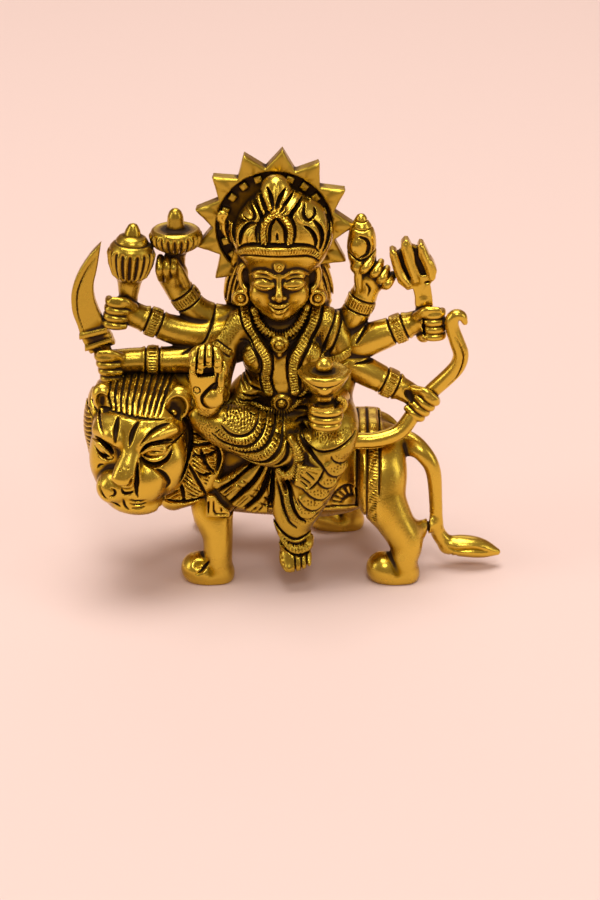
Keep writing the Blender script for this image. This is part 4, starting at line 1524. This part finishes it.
for z in (52.9, 52.2, 51.7):
    stroke(palm, [(-14.4, z), (-13, z)], 0.32, 0.35, -26, -20, taper=0.2)
cuff = [(-20.2, 46.6), (-16.2, 46.8), (-16, 43.4), (-19.6, 42.6)]
for direction in (45, -45):
    hatching(palm, cuff, direction, 0.6, 0.26, -24, -12)
for x in (-15, -14.4, -13.8):
    stroke(palm, [(x, 46), (x + 1, 44.6)], 0.4, 0.4, -24, -11, taper=0.2)

# %% The dish and the hand under it
dish = clays["bowl_hand"] = Clay((1.5, -29, 40), (18, -9, 61), 0.17)
DX, DY = 9.3, -21.4  # the middle of the dish, across and in depth
BEADS = 7
limb(dish, [
    (12.4, -9.6, 44), (11.6, -13, 44.6), (10.4, -17.4, 46), (9.9, -20.4, 46.4)
], [(3, 3), (2.8, 2.8), (2.6, 2.7), (2.6, 2.8)], blend=0, across=UP, steps=14)
bowl = [
    (0, -6.4), (1.7, -6.2), (1.9, -4.7), (3.1, -3.8), (4.2, -2.3), (5.2, -0.6), (5.6, 0.3), (5.3, 0.8), (4.6, 0.75),
    (3, 0.6), (0, 0.6)
]
turned(dish, bowl, (DX, DY, 55.2), (0, 0))
for side in (-1, 1):
    limb(
        dish, [(DX + side * 3.6, DY, 54.6), (DX + side * 5.6, DY, 55.8)], [(0.9, 2.6), (0.4, 0.6)], blend=0.7, steps=8
    )
mass(dish, (DX, DY, 57.2), (2, 2, 2), blend=0.12)
mass(dish, (DX, DY - 3, 53.4), (2, 2.2, 2), (20, 0, 0), blend=0.15)
for i in range(BEADS):
    bead = (6.8 + 0.72 * i, DY - 2.9 - 0.5 * math.sin(math.pi * i / (BEADS - 1)), 47.9 + 0.2 * abs(i - 3) / 3)
    mass(dish, bead, (0.48, 0.6, 0.48), blend=0.12)
for z, half in ((46.9, 3), (45.1, 3.1), (43.5, 2.7)):
    grip = [
        (DX + 0.3 - half, DY + 0.6, z), (DX - 0.4 - half * 0.6, DY - 2.2, z + 0.1), (DX + 0.4, DY - 3.2, z),
        (DX + 0.6 + half * 0.8, DY - 2.4, z + 0.1), (DX + 0.5 + half, DY + 0.4, z + 0.2)
    ]
    limb(dish, grip, [(0.85, 0.8), (0.95, 0.9), (0.95, 0.9), (0.9, 0.9), (0.8, 0.8)], blend=0.18, across=UP, steps=24)
mass(dish, (DX + 0.5, DY - 0.4, 45.4), (2.9, 2.5, 3.2), blend=0.3)
limb(dish, [
    (12.6, -20.8, 48.9), (13.6, -20.4, 48), (13.8, -19.4, 46.4), (13, -18.2, 44.6)
], [0.85, 0.9, 0.9, 0.8], blend=0.25, steps=16)
ticks(dish, [(12.6, 48.9), (13.6, 48), (13.8, 46.4), (13, 44.6)], 1.6, 0.55, 0.34, -23, -16)
under_rim = [(4.1, 55.4), (5.8, 54.6), (7.4, 54), (9.2, 53.8), (11.3, 54), (13, 54.6), (14.5, 55.4)]
stroke(dish, under_rim, 0.5, 0.3, -29, -21, taper=0.2)
print("dish clay:", dish.field.shape)

# %% [markdown]
# ## The six back arms
# They spread like a fan, three to each side, and every fist holds an emblem: a scimitar, a mace, a
# disc, a conch, a trident and a bow. An arm is one limb from the shoulder to the grip. The fist is
# four fingers laid round the shaft, with a thumb over them, and each wrist has a scored bracelet.

# %% An arm with its bracelet and fist
def aimed(direction):
    """A direction of length one."""
    direction = np.asarray(direction, float)
    return direction / np.linalg.norm(direction)


BRACELET_RADIUS, BRACELET_WIDTH = 3.35, 2.6
FINGERS, FINGER_PITCH, FINGER_REACH = 4, 1.8, 2.5


def bracelet(clay, middle, direction):
    """A band round an arm, scored along the arm, with a groove on either side."""
    radius, width = BRACELET_RADIUS, BRACELET_WIDTH
    middle, along = np.asarray(middle, float), aimed(direction)
    ends = [middle - along * width / 2, middle, middle + along * width / 2]
    limb(clay, ends, [radius * 0.98, radius * 1.07, radius * 0.98], blend=0.15, caps=(0.25, 0.25))
    flat = aimed((along[0], along[2]))
    over = np.array([-flat[1], flat[0]])
    for reach, kind in ((0.0, "scores"), (-width / 2 - 0.25, "edge"), (width / 2 + 0.25, "edge")):
        centre = np.array([middle[0], middle[2]]) + flat * reach
        line = [centre - over * (radius + 0.5), centre, centre + over * (radius + 0.5)]
        near, far = middle[1] - radius - 1.5, middle[1] + radius + 1.5
        if kind == "scores":
            ticks(clay, line, width * 0.8, 0.66, 0.5, near, far)
        else:
            stroke(clay, line, 0.65, 0.7, near, far, taper=0.1, steps=4)


def fist(clay, grip, shaft, inward, thumb_over=1.0):
    """Fingers round a shaft. Inward is the way from the fingers' tips to the wrist."""
    grip, shaft, inward = np.asarray(grip, float), aimed(shaft), aimed(inward)
    out = np.array([0, -1.0, 0])
    for i in range(FINGERS):
        place = grip + shaft * FINGER_PITCH * (i - (FINGERS - 1) / 2)
        path = [
            place - inward * FINGER_REACH + out * 0.2, place - inward * FINGER_REACH * 0.8 + out * 2,
            place + out * 2.7, place + inward * FINGER_REACH * 0.7 + out * 2.2
        ]
        limb(clay, path, [(0.9, 0.9), (1.05, 1), (1, 0.95), (0.85, 0.8)], blend=0.12, across=shaft, steps=16)
    mass(clay, grip + inward * 0.8, (2.7, 2.2, 2.9), blend=0.5)
    top = shaft * FINGER_PITCH * FINGERS / 2 * 1.05 * thumb_over
    path = [
        grip + inward * 3.2 + top * 0.5 + out * 1.2, grip + inward * 1.2 + top + out * 2.6,
        grip - inward * 1.6 + top + out * 2.4
    ]
    limb(clay, path, [(1.2, 1.1), (1, 0.9), (0.8, 0.75)], blend=0.3, steps=12)


def back_arm(clay, path, girths, band_place):
    """An arm from the shoulder to the grip, with its bracelet between the elbow and the wrist."""
    limb(clay, path, girths, blend=0.6, steps=6 * (len(path) - 1))
    elbow, wrist = np.array(path[-3], float), np.array(path[-2], float)
    bracelet(clay, elbow + (wrist - elbow) * band_place, wrist - elbow)


# %% Scimitar, mace and disc, with their arms
left = clays["arms_left"] = Clay((-52, -12, 44), (-6, 6, 89), 0.22)
back_arm(left, [
    (-10, -2.5, 54), (-17, -4, 52.2), (-24.4, -5, 51.7), (-34, -5.6, 51.8), (-38.2, -5.8, 51.4)
], [3.6, 3.4, 3.2, 2.9, 3.0], 0.56)
back_arm(left, [
    (-9, -1.5, 58.6), (-17, -2.6, 57.2), (-24.6, -3, 58.2), (-32.6, -3.4, 61.6), (-36.4, -3.8, 63.6)
], [3.9, 3.7, 3.4, 2.9, 3.2], 0.62)
back_arm(left, [
    (-9, 0, 59), (-16.2, -0.4, 60.2), (-20.6, -0.8, 63.0), (-24.4, -1, 68.6), (-24.9, -1.4, 71.4)
], [3.7, 3.5, 3.3, 3.0, 3.2], 0.42)
fist(left, (-39.2, -6.2, 51.0), (-0.22, 0, 1), (1, 0.1, -0.05))
fist(left, (-37.4, -4.2, 63.4), (0.15, 0, 1), (1, 0.1, -0.15), thumb_over=0.9)
for x, high, low in ((-27.9, 75.2, 70.9), (-26.25, 75.5, 70.5), (-24.6, 75.2, 71.4)):
    path = [(x + 0.2, -2.4, high + 0.5), (x, -4.3, high - 0.8), (x, -4.7, (high + low) / 2), (x + 0.2, -3.6, low)]
    limb(left, path, [(0.8, 0.8), (0.86, 0.9), (0.86, 0.9), (0.7, 0.7)], blend=0.15, steps=15)
limb(left, [
    (-22.2, -2.6, 69.4), (-23.2, -3.4, 72.4), (-24.6, -3.4, 75.4)
], [(1.3, 1.2), (1.1, 1.1), (0.8, 0.8)], blend=0.4, steps=10)
mass(left, (-25, -1.6, 71.2), (3.4, 2.3, 3.6), (0, 12, 0), blend=0.7)
blade = [
    (-40.7, 80.4), (-43.4, 77.5), (-46.3, 72.9), (-47.8, 68.4), (-47.8, 64), (-46.8, 60.6), (-45.6, 56.4), (-44, 53.4),
    (-38.2, 55.9), (-39.3, 58.6), (-41.4, 63.2), (-42.6, 67), (-42.7, 70.4), (-41.8, 74.2)
]
blade = [tuple(p) for p in curve(blade[:8], 28)] + [tuple(p) for p in curve(blade[8:] + [blade[0]], 24)][:-1]
plate(left, blade, -6.3, 2.6, soft=0.5)
stroke(
    left, [(-41.9, 77.4), (-44.5, 73.4), (-46.4, 68.6), (-46.5, 63.8), (-45.3, 59.2)], 0.45, 0.4, -8, -4.4, taper=0.2
)
for line in ([(-46.6, 58.4), (-39.6, 60.1)], [(-45.4, 55.6), (-38.7, 57.9)]):
    stroke(left, line, 0.45, 0.45, -8, -4.2, taper=0.2)
limb(left, [(-38.4, -5.8, 47.2), (-41.2, -5.3, 56)], [1.5, 1.5], blend=0.3)
for ends in ([(-46.4, 57.9), (-39.8, 59.6)], [(-45.2, 55), (-38.9, 57.2)]):
    plate(left, [
        (ends[0][0], ends[0][1] - 0.7), (ends[1][0], ends[1][1] - 0.7), (ends[1][0], ends[1][1] + 0.7),
        (ends[0][0], ends[0][1] + 0.7)
    ], -6.9, 3.6, blend=0.15, soft=0.35)
mace_profile = [
    (0, 0), (2, 0), (2.1, 3.6), (2.6, 6.6), (2.9, 7.5), (3.7, 8.5), (4.7, 11.2), (5.05, 13.6), (4.85, 15.2), (4.2, 16),
    (3.6, 16.2), (3.6, 16.8), (3, 17.6), (1.9, 18.1), (1.75, 18.6), (1.5, 19.4), (0.9, 20.5), (0, 20.9)
]
turned(left, mace_profile, (-35.4, -3.4, 63.4), (0, 5.2), blend=0.2, soft=0.1, ribs=(18, 0.42, 8, 15))
disc_profile = [
    (0, -6), (1.7, -6), (2, 0.2), (2.4, 1.4), (3.3, 2), (4.8, 3.1), (5.5, 4.2), (5.7, 5.3), (5.5, 6.4), (4.9, 6.9),
    (4.3, 6.7), (2.5, 6.6), (2, 7), (1.85, 8.2), (1.7, 9.8), (1.3, 10.9), (0.7, 11.5), (0, 11.7)
]
turned(left, disc_profile, (-24.15, -1, 75.2), (0, 0), blend=0.2, soft=0.1, ribs=(22, 0.4, 1.8, 6.2))
stroke(left, [(-15.4, 63.4), (-16.4, 59.8), (-18.6, 55.8), (-23, 53.9)], 0.8, 0.7, -9, 3, taper=0.2)
print("left arms clay:", left.field.shape)

# %% Conch and trident, with their arms
right = clays["arms_right"] = Clay((6, -17, 28), (45, 6, 90), 0.23)
back_arm(right, [
    (9, 0, 58), (14.6, -0.4, 59.0), (17.0, -0.8, 62.4), (19.0, -1, 67.4), (19.8, -1.4, 70.4)
], [3.7, 3.6, 3.3, 3.0, 3.2], 0.34)
back_arm(right, [
    (9, -1.5, 54.6), (16, -2.4, 54.4), (22, -3, 56.8), (29.2, -3.2, 59.8), (31.4, -3.6, 60.8)
], [4.0, 3.9, 3.6, 2.8, 2.5], 0.62)
back_arm(right, [
    (9, -3, 52.4), (15.6, -4, 50.2), (20.8, -4.8, 47.8), (27.4, -5.6, 44.6), (30.6, -6.4, 43.0)
], [3.7, 3.5, 3.3, 2.7, 2.4], 0.55)
shell = [(19.8, -1.4, 68), (18.4, -1, 73.2), (17.9, -1, 77.2), (17.9, -1, 80.4), (17.7, -1, 82.8), (17.7, -1, 84.4)]
limb(right, shell, [(1.8, 1.7), (2.9, 2.6), (3.35, 3.2), (3.1, 3), (2.1, 2), (1.3, 1.3)], blend=0.3, steps=30)
mass(right, (16.6, -3.2, 78.6), (1.6, 1.3, 2), blend=0.4)
mass(right, (17.2, -2.8, 73.6), (2, 1.8, 1.8), blend=0.3)
for line, width, depth in (
    ([(16.2, 84.2), (18, 84), (19.9, 84.3)], 0.6, 0.5),
    ([(15.8, 82.6), (18, 82.3), (20.6, 82.7)], 0.55, 0.45),
    ([(17.2, 81.1), (18.8, 80.4), (19.4, 78.8), (18.9, 77), (17.3, 76)], 1.1, 1),
    ([(14.8, 77), (17, 75.6), (18.9, 75.9), (21.2, 77.6)], 0.7, 0.7),
):
    stroke(right, line, width, depth, -7, 2, taper=0.3)
for low, high in (
    ((17, 72.3), (20.6, 75.8)), ((19.6, 71.3), (22.6, 74.7)), ((21.2, 69.9), (24, 73.1)), ((22.6, 68.6), (25.2, 71.6))
):
    across, up = high[0] - low[0], high[1] - low[1]
    path = [
        (low[0] + along * across, y, low[1] + along * up) for along,
        y in ((0.1, -3), (0.4, -4.5), (0.75, -3.4), (0.9, -1.6))
    ]
    limb(right, path, [(0.85, 0.8), (1.05, 1), (1, 0.95), (0.8, 0.8)], blend=0.15, steps=15)
mass(right, (20.4, -1.6, 70.6), (3.2, 2.4, 3.6), (0, -10, 0), blend=0.7)
limb(
    right, [(17.6, -2.6, 68), (17.2, -3.4, 71.4), (17.6, -3.6, 74.2)], [(1.2, 1.1), (1.1, 1), (0.8, 0.8)], blend=0.3,
    steps=10
)
stroke(right, [(18.6, 70.4), (19.7, 68.7), (19.3, 66.9)], 0.6, 0.7, -6, 0)
fork = [
    (30.1, 64.6), (30, 66.8), (29.5, 68.9), (28.3, 68.5), (26.1, 70.3), (24.9, 73.8), (24.1, 76.7), (24.1, 77.9),
    (24.8, 78.3), (25.7, 77.8), (26.1, 76.7), (27, 74), (28.6, 70.9), (28.9, 71.4), (27.6, 74.6), (26.7, 77.9),
    (26.7, 79.6), (27.5, 80.6), (28.3, 80.5), (29, 79.2), (29.6, 77.6), (30, 75), (31.2, 72.2), (32.6, 72.2),
    (31.8, 74.2), (30.6, 76.8), (30.4, 78.9), (30.9, 79.9), (31.7, 79.7), (32.5, 78.1), (33.2, 76.5), (34.2, 75),
    (34.9, 73.2), (34.5, 71.5), (33.4, 70), (33.7, 68.5), (34, 66.5), (34.2, 64.6)
]
plate(right, fork, -4.8, 3.6, blend=0.2)
plate(right, [
    (25.6, 76.8), (25.2, 73.4), (26.4, 70.8), (33.4, 70.4), (34, 73), (32.6, 75.8), (30.4, 78.4), (28.2, 79.2)
], -3.2, 1.8, blend=0.2)
limb(right, [(32.2, -3.2, 57), (32, -3.2, 66)], [1.7, 1.9], blend=0.4)
prongs = [
    [(28.4, 69.9), (26.6, 72.2), (25.6, 75.2), (25.1, 77.3)],
    [(30, 71), (28.8, 74.6), (27.9, 77.6), (27.7, 79.3)],
    [(33.7, 71.6), (33, 74.4), (31.9, 76.9), (31.4, 78.7)],
]
for prong in prongs:
    limb(right, [(x, -4.4, z) for x, z in prong], [(0.8, 0.9), (0.85, 1), (0.8, 1), (0.6, 0.8)], blend=0.4, steps=15)
stroke(right, [(32, 70.5), (33.6, 70.6)], 0.7, 0.6, -7, -2)
stroke(right, [(32.8, 77.6), (33.7, 76.8), (33.3, 76)], 0.5, 0.6, -7, -2)
fist(right, (33.9, -4.0, 60.6), (-0.05, 0, 1), (-1, 0.1, -0.05))
stroke(right, [(31.9, 62.4), (32.1, 60.2), (32.3, 58)], 0.8, 1, -8, -2)
print("right arms clay:", right.field.shape)

# %% The bow and its fist
bow_line = [
    (41.3, -7.4, 62), (40.6, -7.4, 63.4), (39.2, -7.4, 63.6), (38.3, -7.4, 62.2), (38.6, -7.4, 60.2),
    (39.6, -7.4, 57.2), (40.6, -7.4, 54), (39.8, -7.4, 51), (37.4, -7.2, 48), (34, -7.2, 44.6), (31.4, -7.6, 41.6),
    (29.4, -8.8, 38.8), (26.6, -10.2, 35.8), (21.6, -11.4, 34.4), (16.6, -12, 34.4), (11.6, -13.4, 35)
]
bow_girths = [
    (0.7, 1.2), (1.1, 1.4), (1.4, 1.6), (1.6, 1.6), 1.6, 1.75, 1.8, 1.85, 1.85, 1.8, 1.8, 1.85, 1.9, 1.9, 1.9, 1.9
]
limb(right, bow_line, bow_girths, blend=0.4, steps=90)
stroke(right, [(38.9, 59.4), (40.5, 56.3), (41.1, 53.4), (39.7, 49), (37.2, 46.4)], 0.5, 0.6, -11, -6, taper=0.3)
stroke(right, [(30.2, 37.6), (28, 35), (24.6, 33.4), (20.4, 33.1), (16, 33.2)], 0.55, 0.6, -17, -5, taper=0.3)
for x, z in ((40.6, 61.6), (41, 60.4)):
    stroke(right, [(x - 0.6, z), (x + 0.5, z - 0.4)], 0.4, 0.4, -11, -6)
fist(right, (31.6, -7.0, 42.2), (0.62, -0.1, 0.78), (-0.78, 0.2, 0.55), thumb_over=0.9)
mass(right, (28.7, -9.2, 44.6), (1.1, 1.6, 2.1), (0, -20, 0), blend=0.3, cut=True)
for line in ([(16.7, 56), (19.1, 59.4)], [(16.5, 51.5), (20.9, 51.7)]):
    stroke(right, line, 0.8, 0.8, -8, 3, taper=0.2)
print("bow is on")

# %% [markdown]
# ## Casting every block
# The deep measure of the patina needs the whole idol in one coarse grid, because a sleeve shades
# the lion's flank under it. So all blocks are first laid into that grid, and then cast one by one.

# %% The whole idol in one coarse grid
whole = Clay((-53, -32, -3), (56, 24, 104), 0.5)
for clay in clays.values():
    size = np.array(clay.field.shape) * clay.voxel
    where, (x, y, z) = whole.window(clay.low + 0.6, clay.low + size - 1.2)
    places = np.stack(np.broadcast_arrays(x, y, z), axis=-1).reshape(-1, 3)
    near = sampled(clay.field, (places - clay.low) / clay.voxel).reshape(whole.field[where].shape)
    whole.field[where] = np.minimum(whole.field[where], near)
whole_around = metal_around(whole, DEEP_REACH)
print("whole idol:", whole.field.shape)

# %% Pieces
finishes = {"lion_body": satin, "lion_head": satin, "halo": dark_brass, "arms_left": worn, "goddess_body": worn}
limits = {
    "lion_body": 140000, "lion_head": 140000, "goddess_body": 180000, "head_and_crown": 170000, "halo": 60000,
    "raised_hand": 50000, "bowl_hand": 50000, "arms_left": 95000, "arms_right": 95000,
}
pieces = [cast(name, finishes.get(name, carved), limits[name]) for name in clays]
print("pieces:", [piece.name for piece in pieces])

# %% [markdown]
# ## Floor and light
# The idol stands on a seamless pale sheet that curves up behind it. The light is large and soft,
# from above and a little from the left. Polished metal shows what is round it, so dark gaps between
# the lights matter as much as the lights: they draw the forms.

# %% Floor
floor_mesh = bpy.data.meshes.new("paper_sweep")
profile = [(-3.0 + 4.4 * i / 25, 0) for i in range(26)]
profile += [(1.4 + 1.2 * math.sin(a), 1.2 - 1.2 * math.cos(a)) for a in np.linspace(0.08, math.pi / 2, 14)]
profile += [(2.6, 4.0)]
verts = [(side * 4, y, z) for y, z in profile for side in (-1, 1)]
faces = [(2 * i, 2 * i + 1, 2 * i + 3, 2 * i + 2) for i in range(len(profile) - 1)]
floor_mesh.from_pydata(verts, [], faces)
floor_mesh.shade_smooth()
floor = bpy.data.objects.new("paper_sweep", floor_mesh)
bpy.context.scene.collection.objects.link(floor)
paper = bpy.data.materials.new("pale_paper")
paper.use_nodes = True
paper_shader = paper.node_tree.nodes["Principled BSDF"]
paper_shader.inputs["Base Color"].default_value = (0.785, 0.595, 0.53, 1)
paper_shader.inputs["Roughness"].default_value = 0.9
paper_shader.inputs["Specular IOR Level"].default_value = 0.15
floor_mesh.materials.append(paper)

# %% Lights
def softbox(name, place, target, width, height, power):
    """A rectangular light that faces a target."""
    data = bpy.data.lights.new(name, "AREA")
    data.shape, data.size, data.size_y, data.energy = "RECTANGLE", width, height, power
    lamp = bpy.data.objects.new(name, data)
    lamp.location = place
    lamp.rotation_euler = (Vector(target) - Vector(place)).to_track_quat("-Z", "Y").to_euler()
    bpy.context.scene.collection.objects.link(lamp)


lamps = {  # where each stands, what it faces, its width and height in metres, and its power in watts
    "key_above": ((-0.06, 0.08, 1.5), (0, 0.02, 0.04), 1.0, 0.8, 18.5),
    "left_side": ((-1.0, -0.25, 0.5), (0, 0, 0.05), 0.3, 0.7, 1.8),
    "right_side": ((1.0, -0.35, 0.5), (0, 0, 0.05), 0.3, 0.7, 1.4),
    "front_high": ((0.08, -0.85, 1.05), (0, 0, 0.05), 0.34, 0.22, 3.2),
    "far_floor": ((0, 1.1, 0.8), (0, 0.6, 0), 0.9, 0.5, 1.6),
}
for name, facts in lamps.items():
    softbox(name, *facts)
world = bpy.data.worlds.new("room")
bpy.context.scene.world = world
world.use_nodes = True
background = world.node_tree.nodes["Background"]
background.inputs["Color"].default_value = (1.0, 0.76, 0.63, 1)
background.inputs["Strength"].default_value = 0.33
bpy.context.scene.view_settings.view_transform = "Standard"
print("lights:", ", ".join(lamps))
